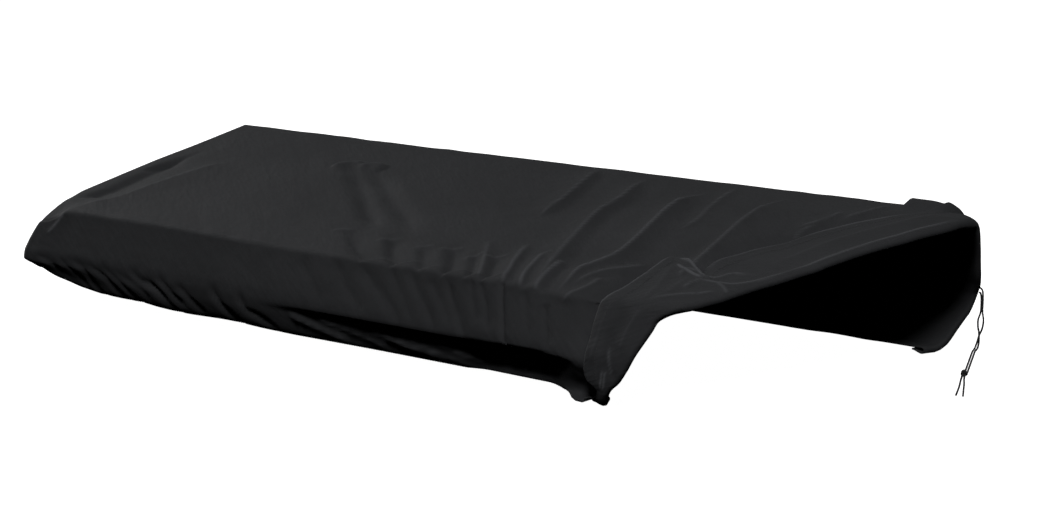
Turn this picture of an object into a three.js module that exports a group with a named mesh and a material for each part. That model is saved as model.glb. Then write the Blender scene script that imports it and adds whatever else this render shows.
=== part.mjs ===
// A fitted dust cover of black stretch cloth, its right end turned back over itself, and its drawcord.
// Millimetres, +Z up: X runs along the cover to the right, Y from front to back.
// The origin is on the underside of the top, midway along the cover and midway across it.
// A place on the cloth is given by x and by s, the distance across the sheet from the front-top edge:
// s is below 0 on the front wall, 0 to TOP_DEPTH on the top, and more than that on the back wall.
import * as THREE from 'three';

// Driving sizes
const CLOTH = 2;
const TOP_DEPTH = 360;
const WALL_DROP = 127;
const FRONT_Y = -182;
const BACK_Y = 178;
const FRONT_Z = -27;
const BACK_Z = 25.4;
const UNDERCUT_Z = -89.6;
const HEM_Z = -128;
const REST_Z = -137.2;

// Rounding of the top's edges and of the upright corners
const EDGE_REACH = 7;
const EDGE_SINK = 1.6;
const SINK_DOWN = 0.8;
const SINK_IN = 0.6;
const CORNER_REACH = 44;
const FRONT_DIP_REACH = 44;

// The front-top edge: its line dips at the left corner and waves a little along its length
const FRONT_EDGE = [
  { x: -552, y: -191, z: -42 },
  { x: -538, y: -190, z: -40 },
  { x: -524, y: -186, z: -34 },
  { x: -513, y: -183, z: -28 },
  { x: -495, y: -182, z: -26 },
  { x: -325, y: -182, z: -25 },
  { x: -175, y: -182, z: -27.6 },
  { x: 25, y: -182, z: -27.2 },
  { x: 110, y: -182, z: -25.8 },
  { x: 185, y: -182, z: -27 },
  { x: 253, y: -182, z: -30 },
  { x: 313, y: -182, z: -28 },
  { x: 403, y: -182, z: -28 },
];

// The left-top edge
const LEFT_EDGE = [
  { y: -191, x: -552 },
  { y: -164, x: -548 },
  { y: -130, x: -552 },
  { y: -104, x: -557.5 },
  { y: 1, x: -557 },
  { y: 90, x: -551 },
  { y: 178, x: -548 },
];

// How far the top stands above a straight line from its front edge to its back edge
const CROWN_ALONG = [
  { x: -563, crown: 0 },
  { x: -300, crown: 2 },
  { x: 0, crown: 1.5 },
  { x: 300, crown: 6 },
  { x: 450, crown: 10 },
  { x: 580, crown: 11 },
];
const CROWN_ACROSS = [
  { s: 0, share: 0 },
  { s: 180, share: 1 },
  { s: 275, share: 1 },
  { s: TOP_DEPTH, share: 0 },
];

// Wall sections, a row for each height. out is the distance outside the top edge.
// level is 1 at the top edge, 0 at the undercut and -1 at the hem, which is drawn in underneath.
// Along the front each section starts at from and is fully there at full: it rolls under by the left
// corner, hangs almost straight, is tucked in under a sharp lower edge, comes out as a lobe beside the
// turned-back end, and hangs straight under that end.
const WALL_ROWS = [8, 22, 40, 56, 66, 76, 88, 102, 112, WALL_DROP];
const UPPER_WALL = [
  { down: 0, out: 0, level: 1 },
  { down: 8, out: 3.2, level: 0.88 },
  { down: 22, out: 9.4, level: 0.67 },
  { down: 40, out: 17.5, level: 0.4 },
  { down: 56, out: 24, level: 0.16 },
];
const ROLLED_FOOT = [
  { down: 66, out: 25, level: 0 },
  { down: 76, out: 21.5, level: -0.22 },
  { down: 88, out: 16, level: -0.5 },
  { down: 102, out: 11, level: -0.88 },
  { down: 112, out: 4, level: -1 },
  { down: WALL_DROP, out: -12, level: -1 },
];
const STRAIGHT_FOOT = [
  { down: 66, out: 25.6, level: 0 },
  { down: 76, out: 25.4, level: -0.24 },
  { down: 88, out: 22.5, level: -0.52 },
  { down: 102, out: 16, level: -0.86 },
  { down: 112, out: 8, level: -1 },
  { down: WALL_DROP, out: -8, level: -1 },
];
const TUCKED_FOOT = [
  { down: 66, out: 26, level: 0 },
  { down: 76, out: 9, level: -0.1 },
  { down: 88, out: 5, level: -0.48 },
  { down: 102, out: 7, level: -0.92 },
  { down: 112, out: 3, level: -1.05 },
  { down: WALL_DROP, out: -12, level: -1.05 },
];
const LOBE_FOOT = [
  { down: 66, out: 26.5, level: 0 },
  { down: 76, out: 22.8, level: -0.21 },
  { down: 88, out: 15, level: -0.52 },
  { down: 102, out: 16, level: -0.92 },
  { down: 112, out: 24, level: -1.11 },
  { down: WALL_DROP, out: 10, level: -1.11 },
];
const HANGING_FOOT = [
  { down: 66, out: 27, level: 0 },
  { down: 76, out: 28.5, level: -0.24 },
  { down: 88, out: 29.5, level: -0.56 },
  { down: 102, out: 24, level: -0.93 },
  { down: 112, out: 16, level: -1.06 },
  { down: WALL_DROP, out: 2, level: -1.06 },
];
const FRONT_SECTIONS = [
  { from: -700, full: -600, rows: [...UPPER_WALL, ...ROLLED_FOOT] },
  { from: -470, full: -385, rows: [...UPPER_WALL, ...STRAIGHT_FOOT] },
  { from: -190, full: -70, rows: [...UPPER_WALL, ...TUCKED_FOOT] },
  { from: 250, full: 304, rows: [...UPPER_WALL, ...LOBE_FOOT] },
  { from: 304, full: 330, rows: [...UPPER_WALL, ...HANGING_FOOT] },
];
const LEFT_WALL = [
  { down: 0, out: 0, level: 1 },
  { down: 8, out: 5, level: 0.9 },
  { down: 22, out: 12, level: 0.7 },
  { down: 40, out: 18.5, level: 0.45 },
  { down: 56, out: 22, level: 0.22 },
  { down: 66, out: 23, level: 0.05 },
  { down: 76, out: 19, level: -0.16 },
  { down: 88, out: 11, level: -0.42 },
  { down: 102, out: 1, level: -0.72 },
  { down: 112, out: -7, level: -0.86 },
  { down: WALL_DROP, out: -22, level: -0.9 },
];
const BACK_WALL = [
  { down: 0, out: 0, level: 1 },
  { down: 8, out: 3, level: 0.9 },
  { down: 22, out: 10, level: 0.68 },
  { down: 40, out: 18, level: 0.43 },
  { down: 56, out: 26, level: 0.24 },
  { down: 66, out: 27.5, level: 0.16 },
  { down: 76, out: 21, level: -0.02 },
  { down: 88, out: 8, level: -0.4 },
  { down: 102, out: -7, level: -0.88 },
  { down: 112, out: -14, level: -1 },
  { down: WALL_DROP, out: -29, level: -1 },
];
// How far the hem is drawn up towards the undercut: along the front, and along the left end
const HEM_RISE_FRONT = [
  { x: -542, rise: 0.62 },
  { x: -515, rise: 0.36 },
  { x: -480, rise: 0.18 },
  { x: -440, rise: 0.1 },
  { x: -375, rise: 0.11 },
  { x: -340, rise: 0.05 },
  { x: -300, rise: 0.02 },
  { x: -222, rise: 0.07 },
  { x: -160, rise: 0.02 },
  { x: -120, rise: 0 },
];
const HEM_RISE_LEFT = [
  { s: 0, rise: 0.62 },
  { s: 40, rise: 0.3 },
  { s: 120, rise: 0.1 },
  { s: TOP_DEPTH, rise: 0 },
];

// The line along which the right end turns back, the place where the turned-back cloth's edge lies,
// the roll's radius, and the edge's lift off the cloth under it. The edge has an ear, and a notch
// behind it.
const TURN_LINE = [
  { s: -WALL_DROP, x: 318, edgeX: 307, edgeS: -WALL_DROP, roll: 2.6, lift: 3 },
  { s: -112, x: 327, edgeX: 316, edgeS: -112, roll: 2.8, lift: 3 },
  { s: -102, x: 337, edgeX: 325, edgeS: -101, roll: 3, lift: 3.6 },
  { s: -94, x: 343, edgeX: 332, edgeS: -92, roll: 3.2, lift: 4.2 },
  { s: -88, x: 349, edgeX: 331, edgeS: -88, roll: 3.8, lift: 5 },
  { s: -82, x: 356, edgeX: 322, edgeS: -83, roll: 4.1, lift: 5.5 },
  { s: -74, x: 361.5, edgeX: 318, edgeS: -75, roll: 4.3, lift: 5.5 },
  { s: -64, x: 367, edgeX: 317, edgeS: -64, roll: 4.4, lift: 5.5 },
  { s: -40, x: 378, edgeX: 318, edgeS: -40, roll: 4.6, lift: 5.5 },
  { s: -24, x: 385.5, edgeX: 318, edgeS: -25, roll: 4.4, lift: 5.5 },
  { s: -14, x: 389.5, edgeX: 319, edgeS: -15, roll: 4.3, lift: 5.5 },
  { s: -6, x: 400, edgeX: 321, edgeS: -5, roll: 4.2, lift: 5.5 },
  { s: 0, x: 413, edgeX: 331, edgeS: 4, roll: 4.1, lift: 5.5 },
  { s: 4, x: 420, edgeX: 335, edgeS: 33, roll: 4, lift: 5.5 },
  { s: 8, x: 425, edgeX: 334, edgeS: 66, roll: 3.9, lift: 5.5 },
  { s: 14, x: 431, edgeX: 334, edgeS: 105, roll: 3.8, lift: 5.5 },
  { s: 30, x: 444, edgeX: 362, edgeS: 95, roll: 3.8, lift: 5 },
  { s: 50, x: 456, edgeX: 397, edgeS: 71, roll: 3.8, lift: 4.8 },
  { s: 66, x: 466, edgeX: 391, edgeS: 84, roll: 3.8, lift: 4.8 },
  { s: 94, x: 486, edgeX: 398, edgeS: 106, roll: 3.8, lift: 4.8 },
  { s: 126, x: 503, edgeX: 412, edgeS: 134, roll: 3.8, lift: 4.8 },
  { s: 180, x: 528, edgeX: 441, edgeS: 188, roll: 3.8, lift: 4.8 },
  { s: 220, x: 550, edgeX: 461, edgeS: 222, roll: 3.8, lift: 4.8 },
  { s: 255, x: 567, edgeX: 484, edgeS: 254, roll: 4, lift: 4.8 },
  { s: 285, x: 576, edgeX: 512, edgeS: 286, roll: 4.4, lift: 4.8 },
  { s: 320, x: 576, edgeX: 530, edgeS: 318, roll: 5.6, lift: 4.8 },
  { s: TOP_DEPTH, x: 563, edgeX: 530, edgeS: TOP_DEPTH, roll: 5.6, lift: 4.8 },
  { s: TOP_DEPTH + 36, x: 561, edgeX: 532, edgeS: TOP_DEPTH + 36, roll: 3.6, lift: 4.8 },
  { s: TOP_DEPTH + 62, x: 551, edgeX: 533, edgeS: TOP_DEPTH + 62, roll: 3.2, lift: 4.8 },
  { s: TOP_DEPTH + WALL_DROP, x: 515, edgeX: 503, edgeS: TOP_DEPTH + WALL_DROP, roll: 3, lift: 4.8 },
];

// The back right corner, where the turned end still hooks over and droops
const DROOP = [
  { s: 245, fall: 0 },
  { s: 285, fall: 4 },
  { s: 320, fall: 10 },
  { s: TOP_DEPTH, fall: 16 },
];
const DROOP_REACH = 58;
const CORNER_WRAP = 12;
const WRAP_REACH = 50;

// Folds and creases as ridges (height above 0) and troughs (below 0): each runs along a path of
// [x, s] places, with its spread to the left and to the right of that direction
const FOLDS = [
  { name: 'tension ridge, left corner', height: 4.5, left: 20, right: 34,
    path: [[-514, 0], [-478, 58], [-460, 147], [-443, 219]] },
  { name: 'trough beside the tension ridge', height: -4.5, left: 14, right: 24,
    path: [[-530, 44], [-520, 86], [-524, 196], [-515, 222]] },
  { name: 'long trough, first', height: -5, left: 20, right: 20,
    path: [[-268, 252], [-188, 184], [-144, 142], [-70, 80]] },
  { name: 'long trough, second', height: -5, left: 20, right: 20,
    path: [[-226, 256], [-164, 213], [-71, 140], [0, 78]] },
  { name: 'front-edge trough 1', height: -4.5, left: 16, right: 15,
    path: [[-112, 80], [-40, 20], [12, -26], [66, -66]] },
  { name: 'front-edge trough 2', height: -5, left: 15, right: 15,
    path: [[-38, 78], [32, 1], [86, -66]] },
  { name: 'front-edge trough 3', height: -4, left: 14, right: 14,
    path: [[20, 66], [73, 1], [114, -64]] },
  { name: 'front-edge trough 4', height: -5, left: 14, right: 14,
    path: [[52, 80], [110, 1], [156, -66]] },
  { name: 'front-edge trough 5', height: -4, left: 13, right: 13,
    path: [[94, 70], [141, 1], [166, -48]] },
  { name: 'front-edge trough 6', height: -4, left: 13, right: 13,
    path: [[120, 74], [163, 1], [182, -54]] },
  { name: 'short ridge 1', height: 4.5, left: 13, right: 14,
    path: [[186, -3], [174, 26], [162, 52], [142, 106]] },
  { name: 'short ridge 2', height: 4, left: 13, right: 13,
    path: [[210, -2], [194, 34], [184, 86]] },
  { name: 'long ridge, first', height: 5.5, left: 20, right: 15,
    path: [[100, 178], [96, 226], [86, 267], [58, 356]] },
  { name: 'long ridge, second', height: 7, left: 20, right: 16,
    path: [[228, -6], [211, 51], [182, 147], [164, 210], [163, 252], [138, 352]] },
  { name: 'long ridge, third', height: 8.5, left: 20, right: 16,
    path: [[258, -8], [256, 50], [270, 100], [262, 150], [240, 252], [248, 314]] },
  { name: 'long ridge, fourth', height: 7, left: 15, right: 22,
    path: [[371, 80], [361, 129], [337, 237], [326, 325]] },
  { name: 'ridge beside the turned end', height: 3, left: 15, right: 15,
    path: [[424, 205], [440, 255], [450, 310]] },
  { name: 'puffed back edge', height: 9.5, left: 20, right: 24,
    path: [[476, 356], [506, 358], [552, 354]] },
  { name: 'trough beside the ear', height: -4, left: 16, right: 10,
    path: [[306, -76], [307, -28], [316, 20], [320, 75], [322, 108]] },
  { name: 'trough beside the band', height: -3, left: 14, right: 10,
    path: [[382, 84], [404, 136], [452, 226], [519, 322]] },
  { name: 'sharp crease of the front wall', height: -3.5, left: 12, right: 12,
    path: [[183, 4], [190, -18], [206, -68]] },
  { name: 'deep tuck', height: -7, left: 22, right: 16, path: [[130, -94], [205, -92], [272, -90]] },
  { name: 'undercut gather 1', height: -4, left: 18, right: 18, path: [[-470, -60], [-440, -90]] },
  { name: 'undercut gather 2', height: -5, left: 18, right: 18, path: [[-390, -60], [-340, -92]] },
  { name: 'undercut gather 3', height: -5, left: 18, right: 18, path: [[-348, -60], [-300, -92]] },
  { name: 'undercut gather 4', height: -5, left: 18, right: 18, path: [[-248, -58], [-186, -100]] },
  { name: 'undercut gather 5', height: -5, left: 18, right: 18, path: [[-203, -58], [-129, -97]] },
  { name: 'undercut gather 6', height: -4, left: 18, right: 18, path: [[-70, -70], [0, -104]] },
  { name: 'undercut gather 7', height: -4, left: 16, right: 16, path: [[50, -70], [110, -104]] },
  { name: 'undercut gather 8', height: -4, left: 14, right: 14, path: [[193, -64], [212, -96]] },
];
const FOLD_STEPS = 14;
const FOLD_FADE = 0.22;

// Folds on the turned-back end only: they rise, so that it stays clear of the cloth under it
const TURNED_FOLDS = [
  { name: 'raised edge of the ear', height: 5, left: 14, right: 14,
    path: [[335, 106], [361, 95], [406, 64]] },
  { name: 'swell of the ear', height: 3, left: 16, right: 16, path: [[349, 86], [366, 31], [370, -10]] },
  { name: 'pinch', height: 3, left: 12, right: 12, path: [[378, 2], [410, 30], [440, 64]] },
  { name: 'casing', height: 3, left: 13, right: 13,
    path: [[410, 55], [468, 56], [498, 100], [534, 181], [562, 256]] },
  { name: 'band', height: 3.5, left: 20, right: 20,
    path: [[451, 98], [488, 196], [536, 282], [552, 318]] },
  { name: 'tongue', height: 3, left: 14, right: 14, path: [[332, -80], [338, -40], [350, -2]] },
];

// Rows across the sheet, columns along it, and columns round the roll and over the turned-back end
const TOP_ROWS = [
  0, 4, 8, 14, 22, 30, 40, 50, 60, 76, 94, 116, 142, 172, 202, 232, 262, 292, 320, 342, TOP_DEPTH,
];
const COLUMNS = 54;
const LEFT_SPACING = 25;
const RIGHT_SPACING = 12;
const ROLL_COLUMNS = 5;
const TURNED_COLUMNS = 6;

// The drawcord: two strands out of the casing at the back right, a knot, and two free tails.
// LIE_Z is the height of a cord's middle where it lies on the surface that the cover stands on.
const CORD_DIAMETER = 2.2;
const CORD_SIDES = 8;
const LIE_GAP = 0.1;
const LIE_Z = REST_Z + LIE_GAP + CORD_DIAMETER / 2;
const CORDS = [
  { name: 'cord_strand_outer', steps: 48, path: [
    [556.5, 205.4, -65.6], [560, 204.9, -68.6], [561.4, 203.7, -78], [562, 202, -91.6],
    [563.8, 201.2, -101.7], [562.5, 200.8, -111.2], [559.6, 200.2, -118.6], [557, 199.6, -128],
    [555.6, 197.6, -134], [555.5, 193.2, LIE_Z], [557, 189, LIE_Z], [563, 173.5, LIE_Z],
    [573.5, 146.7, LIE_Z], [584.4, 119, LIE_Z], [586.8, 112.8, LIE_Z], [590.6, 101.4, -133.8],
  ] },
  { name: 'cord_strand_inner', steps: 48, path: [
    [555.8, 205.5, -70.6], [557.8, 205.4, -73], [558.7, 205, -80], [558.4, 204.6, -93],
    [555.7, 204.3, -102.5], [555.8, 204.2, -110.8], [557.2, 204, -117.5], [557.8, 203, -128],
    [557.8, 200.2, -133.8], [558, 194.4, LIE_Z], [559.5, 190, LIE_Z], [565.6, 174.5, LIE_Z],
    [576.1, 147.7, LIE_Z], [587, 120, LIE_Z], [589.5, 113.7, LIE_Z], [593.3, 102.3, -133.8],
  ] },
  { name: 'cord_tail_left', steps: 22, path: [
    [592.7, 95, -133.8], [594.2, 90.6, -135.4], [595.9, 86, LIE_Z], [598, 81, LIE_Z],
    [607.6, 58.6, LIE_Z], [618.4, 30.7, LIE_Z],
  ] },
  { name: 'cord_tail_right', steps: 22, path: [
    [595.4, 95.6, -133.8], [597.2, 91, -135.4], [599.3, 86.4, LIE_Z], [601.6, 82, LIE_Z],
    [608.6, 68.1, LIE_Z], [616.6, 51.3, LIE_Z], [626.1, 31.5, LIE_Z],
  ] },
];
const KNOT = { x: 593, y: 98.6, z: -132.9, ring: 2.1, tube: 1, stretch: 1.5, steps: 72, sides: 8 };
const KNOT_AXIS = new THREE.Vector3(0.3, -0.954, 0);

// Monotone cubic through a table's rows, giving one column's value at any key
function track(rows, key, column) {
  const keys = rows.map((row) => row[key]);
  const values = rows.map((row) => row[column]);
  const last = rows.length - 1;
  const slopes = keys.slice(1).map((k, i) => (values[i + 1] - values[i]) / (k - keys[i]));
  const tangents = keys.map((_, i) => {
    const before = slopes[Math.max(0, i - 1)];
    const after = slopes[Math.min(last - 1, i)];
    return before * after > 0 ? (2 * before * after) / (before + after) : 0;
  });
  return (at) => {
    if (at <= keys[0]) return values[0];
    if (at >= keys[last]) return values[last];
    const i = keys.findIndex((k) => k > at) - 1;
    const span = keys[i + 1] - keys[i];
    const t = (at - keys[i]) / span;
    const rest = 1 - t;
    return (
      values[i] * rest * rest * (1 + 2 * t) +
      values[i + 1] * t * t * (3 - 2 * t) +
      span * t * rest * (tangents[i] * rest - tangents[i + 1] * t)
    );
  };
}

const smooth = THREE.MathUtils.smoothstep;
const clamp = THREE.MathUtils.clamp;
const lerp = THREE.MathUtils.lerp;

const frontY = track(FRONT_EDGE, 'x', 'y');
const frontZ = track(FRONT_EDGE, 'x', 'z');
const leftX = track(LEFT_EDGE, 'y', 'x');
const crownAlong = track(CROWN_ALONG, 'x', 'crown');
const crownAcross = track(CROWN_ACROSS, 's', 'share');
const turnX = track(TURN_LINE, 's', 'x');
const turnedX = track(TURN_LINE, 's', 'edgeX');
const turnedS = track(TURN_LINE, 's', 'edgeS');
const rollRadius = track(TURN_LINE, 's', 'roll');
const edgeLift = track(TURN_LINE, 's', 'lift');
const droopFall = track(DROOP, 's', 'fall');
const riseFront = track(HEM_RISE_FRONT, 'x', 'rise');
const riseLeft = track(HEM_RISE_LEFT, 's', 'rise');
const wallTracks = (rows) => ({ out: track(rows, 'down', 'out'), level: track(rows, 'down', 'level') });
const frontWalls = FRONT_SECTIONS.map((section) => wallTracks(section.rows));
const leftWall = wallTracks(LEFT_WALL);
const backWall = wallTracks(BACK_WALL);

const planeZ = (y) => FRONT_Z + ((BACK_Z - FRONT_Z) * (y - FRONT_Y)) / (BACK_Y - FRONT_Y);
const softened = (distance) => EDGE_SINK * clamp(1 - distance / EDGE_REACH, 0, 1) ** 2;
const nearTurn = (x, s) => clamp((x - turnX(s) + DROOP_REACH) / DROOP_REACH, 0, 1) ** 2;

// The top before its edges are rounded
function topPoint(x, s) {
  const edgeY = frontY(x);
  const corner = nearTurn(x, s);
  const y = edgeY + ((BACK_Y - edgeY) * s) / TOP_DEPTH;
  const dip = frontZ(x) - planeZ(edgeY);
  const z =
    planeZ(y) +
    crownAlong(x) * crownAcross(s) +
    dip * clamp(1 - s / FRONT_DIP_REACH, 0, 1) ** 2 -
    droopFall(s) * corner;
  return new THREE.Vector3(x, y - CORNER_WRAP * corner * smooth(s, TOP_DEPTH - WRAP_REACH, TOP_DEPTH), z);
}

// How much of each front section there is at a place along the front
function frontShares(x) {
  const begun = FRONT_SECTIONS.map((section) => smooth(x, section.from, section.full));
  return begun.map((share, i) => share - (begun[i + 1] ?? 0));
}

// A wall point below a top-edge point; way is the outward direction there
function wallPoint(edge, way, down, rise) {
  const front = Math.max(0, -way.y) ** 2;
  const shares = frontShares(edge.x);
  const walls = [
    ...frontWalls.map((wall, i) => [wall, front * shares[i]]),
    [leftWall, way.x ** 2],
    [backWall, Math.max(0, way.y) ** 2],
  ];
  const blend = (column) => walls.reduce((sum, [wall, share]) => sum + share * wall[column](down), 0);
  const level = blend('level');
  const sink = softened(down);
  const out = blend('out') - SINK_IN * sink;
  const span = level > 0 ? edge.z - UNDERCUT_Z : (UNDERCUT_Z - HEM_Z) * (1 - rise);
  const z = UNDERCUT_Z + span * level;
  return new THREE.Vector3(edge.x + way.x * out, edge.y + way.y * out, z - SINK_DOWN * sink);
}

// Outward direction near an upright corner: it swings to the diagonal as the corner comes near
function cornerAngle(distance) {
  return (Math.PI / 4) * (1 - smooth(distance, 0, CORNER_REACH));
}

// The smooth cover, before folds: front wall, top or back wall by s
function basePoint(x, s) {
  if (s < 0) {
    const angle = cornerAngle(x - leftX(frontY(x)));
    const way = new THREE.Vector2(-Math.sin(angle), -Math.cos(angle));
    return wallPoint(topPoint(x, 0), way, -s, riseFront(x));
  }
  if (s > TOP_DEPTH) {
    const angle = cornerAngle(x - leftX(BACK_Y));
    const way = new THREE.Vector2(-Math.sin(angle), Math.cos(angle));
    return wallPoint(topPoint(x, TOP_DEPTH), way, s - TOP_DEPTH, 0);
  }
  const point = topPoint(x, s);
  const fromFront = softened(s);
  const fromBack = softened(TOP_DEPTH - s);
  const fromLeft = softened(x - leftX(point.y));
  point.x += SINK_IN * fromLeft;
  point.y += SINK_IN * (fromFront - fromBack);
  point.z -= SINK_DOWN * Math.max(fromFront, fromBack, fromLeft);
  return point;
}

// The left end wall, below the left-top edge at row s
function leftPoint(s, down) {
  const nominalY = FRONT_Y + s * ((BACK_Y - FRONT_Y) / TOP_DEPTH);
  const edge = topPoint(leftX(nominalY), s);
  const fromFront = cornerAngle(s);
  const fromBack = cornerAngle(TOP_DEPTH - s);
  const angle = fromBack - fromFront;
  const way = new THREE.Vector2(-Math.cos(angle), Math.sin(angle));
  return wallPoint(edge, way, down, riseLeft(s));
}

// Fold paths, sampled once
const withPaths = (rows) =>
  rows.map((row) => {
    const places = row.path.map(([x, s]) => new THREE.Vector2(x, s));
    return { ...row, points: new THREE.SplineCurve(places).getPoints(FOLD_STEPS) };
  });
const folds = withPaths(FOLDS);
const turnedFolds = withPaths(TURNED_FOLDS);

// How far one fold lifts the cloth at a place
function foldLift(fold, place) {
  const best = { distance: Infinity, side: 1, progress: 0 };
  for (let i = 0; i < FOLD_STEPS; i += 1) {
    const along = fold.points[i + 1].clone().sub(fold.points[i]);
    const offset = place.clone().sub(fold.points[i]);
    const t = clamp(offset.dot(along) / along.lengthSq(), 0, 1);
    const distance = offset.distanceTo(along.clone().multiplyScalar(t));
    if (distance < best.distance) {
      best.distance = distance;
      best.side = along.cross(offset);
      best.progress = (i + t) / FOLD_STEPS;
    }
  }
  const spread = best.side > 0 ? fold.left : fold.right;
  const fade = smooth(best.progress, 0, FOLD_FADE) * smooth(1 - best.progress, 0, FOLD_FADE);
  return fold.height * fade * Math.exp(-((best.distance / spread) ** 2));
}
const liftOf = (rows, x, s) => {
  const place = new THREE.Vector2(x, s);
  return rows.reduce((sum, fold) => sum + foldLift(fold, place), 0);
};

// Position, outward normal and along-the-row direction of the folded cloth
const PROBE = 0.6;
const WHOLE_SHEET = [-WALL_DROP, TOP_DEPTH + WALL_DROP];
function clothFrame(x, s) {
  const ahead = basePoint(x + PROBE, s).sub(basePoint(x - PROBE, s)).normalize();
  const high = basePoint(x, Math.min(s + PROBE, WHOLE_SHEET[1]));
  const across = high.sub(basePoint(x, Math.max(s - PROBE, WHOLE_SHEET[0])));
  const normal = ahead.clone().cross(across).normalize();
  const point = basePoint(x, s).addScaledVector(normal, liftOf(folds, x, s));
  return { point, normal, ahead };
}

// One row of the sheet at s, from the left edge to the turn, round the roll and back
function sheetRow(s) {
  const startX = leftX(s < 0 ? frontY(LEFT_EDGE[0].x) : FRONT_Y + Math.min(s, TOP_DEPTH));
  const endX = turnX(s);
  const row = [];
  for (let i = 0; i <= COLUMNS; i += 1) {
    const u = i / COLUMNS;
    const mean = (LEFT_SPACING + RIGHT_SPACING) / 2;
    const share = (LEFT_SPACING * u - ((LEFT_SPACING - RIGHT_SPACING) / 2) * u * u) / mean;
    row.push(clothFrame(startX + (endX - startX) * share, s).point);
  }
  const turn = clothFrame(endX, s);
  const radius = rollRadius(s);
  for (let i = 1; i <= ROLL_COLUMNS; i += 1) {
    const angle = (Math.PI * i) / ROLL_COLUMNS;
    const point = turn.point.clone();
    point.addScaledVector(turn.ahead, radius * Math.sin(angle));
    row.push(point.addScaledVector(turn.normal, radius * (1 - Math.cos(angle))));
  }
  for (let i = 1; i <= TURNED_COLUMNS; i += 1) {
    const share = i / TURNED_COLUMNS;
    const x = lerp(endX, turnedX(s), share);
    const across = lerp(s, turnedS(s), share);
    const under = clothFrame(x, across);
    const lift = lerp(2 * radius, edgeLift(s), smooth(share, 0, 1)) + liftOf(turnedFolds, x, across);
    row.push(under.point.addScaledVector(under.normal, lift));
  }
  return row;
}

// A quad sheet with shared corners, made solid by moving it half its thickness to each side
function thicken(points, quads, thickness) {
  const normals = points.map(() => new THREE.Vector3());
  const edgeUse = new Map();
  for (const quad of quads) {
    const [a, b, c, d] = quad.map((index) => points[index]);
    const face = c.clone().sub(a).cross(d.clone().sub(b));
    quad.forEach((index, corner) => {
      normals[index].add(face);
      const next = quad[(corner + 1) % quad.length];
      const key = `${Math.min(index, next)} ${Math.max(index, next)}`;
      edgeUse.set(key, edgeUse.has(key) ? null : [index, next]);
    });
  }
  normals.forEach((normal) => normal.setLength(thickness / 2));
  const vertices = [
    ...points.map((point, i) => point.clone().add(normals[i])),
    ...points.map((point, i) => point.clone().sub(normals[i])),
  ];
  const inner = points.length;
  const triangles = [];
  const addQuad = (a, b, c, d) => {
    const shortFirst = vertices[a].distanceTo(vertices[c]) <= vertices[b].distanceTo(vertices[d]);
    triangles.push(...(shortFirst ? [a, b, c, a, c, d] : [a, b, d, b, c, d]));
  };
  for (const [a, b, c, d] of quads) {
    addQuad(a, b, c, d);
    addQuad(d + inner, c + inner, b + inner, a + inner);
  }
  for (const edge of edgeUse.values()) {
    if (edge) addQuad(edge[1], edge[0], edge[0] + inner, edge[1] + inner);
  }
  const geometry = new THREE.BufferGeometry().setFromPoints(vertices);
  geometry.setIndex(triangles);
  geometry.computeVertexNormals();
  return geometry;
}

// The cover: one sheet of front wall, top, back wall and turned-back end, closed by the left end wall
function coverGeometry() {
  const rows = [
    ...WALL_ROWS.map((down) => -down).reverse(),
    ...TOP_ROWS,
    ...WALL_ROWS.map((down) => TOP_DEPTH + down),
  ];
  const width = COLUMNS + 1 + ROLL_COLUMNS + TURNED_COLUMNS;
  const points = rows.flatMap((s) => sheetRow(s));
  const quads = [];
  for (let j = 0; j + 1 < rows.length; j += 1) {
    for (let i = 0; i + 1 < width; i += 1) {
      const corner = j * width + i;
      quads.push([corner, corner + 1, corner + width + 1, corner + width]);
    }
  }
  const frontEdgeRow = WALL_ROWS.length;
  const backEdgeRow = frontEdgeRow + TOP_ROWS.length - 1;
  const leftIndex = (k, r) => {
    if (k === 0) return (frontEdgeRow - r) * width;
    if (k === TOP_ROWS.length - 1) return (backEdgeRow + r) * width;
    if (r === 0) return (frontEdgeRow + k) * width;
    return rows.length * width + (k - 1) * WALL_ROWS.length + r - 1;
  };
  for (const s of TOP_ROWS.slice(1, -1)) {
    points.push(...WALL_ROWS.map((down) => leftPoint(s, down)));
  }
  for (let k = 0; k + 1 < TOP_ROWS.length; k += 1) {
    for (let r = 0; r < WALL_ROWS.length; r += 1) {
      quads.push([leftIndex(k, r), leftIndex(k + 1, r), leftIndex(k + 1, r + 1), leftIndex(k, r + 1)]);
    }
  }
  return thicken(points, quads, CLOTH);
}

// A cord: a many-sided round section carried along its path
function cordGeometry({ steps, path }) {
  const section = new THREE.Shape();
  for (let i = 0; i < CORD_SIDES; i += 1) {
    const angle = (2 * Math.PI * i) / CORD_SIDES;
    const corner = [(CORD_DIAMETER / 2) * Math.cos(angle), (CORD_DIAMETER / 2) * Math.sin(angle)];
    if (i === 0) section.moveTo(...corner);
    else section.lineTo(...corner);
  }
  const extrudePath = new THREE.CatmullRomCurve3(path.map((place) => new THREE.Vector3(...place)));
  return new THREE.ExtrudeGeometry(section, { steps, extrudePath, bevelEnabled: false });
}

// The knot: a cord's loop through itself, drawn out along the cord's way
function knotGeometry() {
  const geometry = new THREE.TorusKnotGeometry(KNOT.ring, KNOT.tube, KNOT.steps, KNOT.sides);
  geometry.scale(1, 1, KNOT.stretch);
  const upright = new THREE.Vector3(0, 0, 1);
  geometry.applyQuaternion(new THREE.Quaternion().setFromUnitVectors(upright, KNOT_AXIS.clone().normalize()));
  geometry.translate(KNOT.x, KNOT.y, KNOT.z);
  return geometry;
}

const clothMaterial = new THREE.MeshStandardMaterial({ color: 0x1d1e1f, roughness: 0.85, metalness: 0 });
clothMaterial.name = 'stretch_cloth';
const cordMaterial = new THREE.MeshStandardMaterial({ color: 0x141415, roughness: 0.8, metalness: 0 });
cordMaterial.name = 'black_cord';

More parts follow.
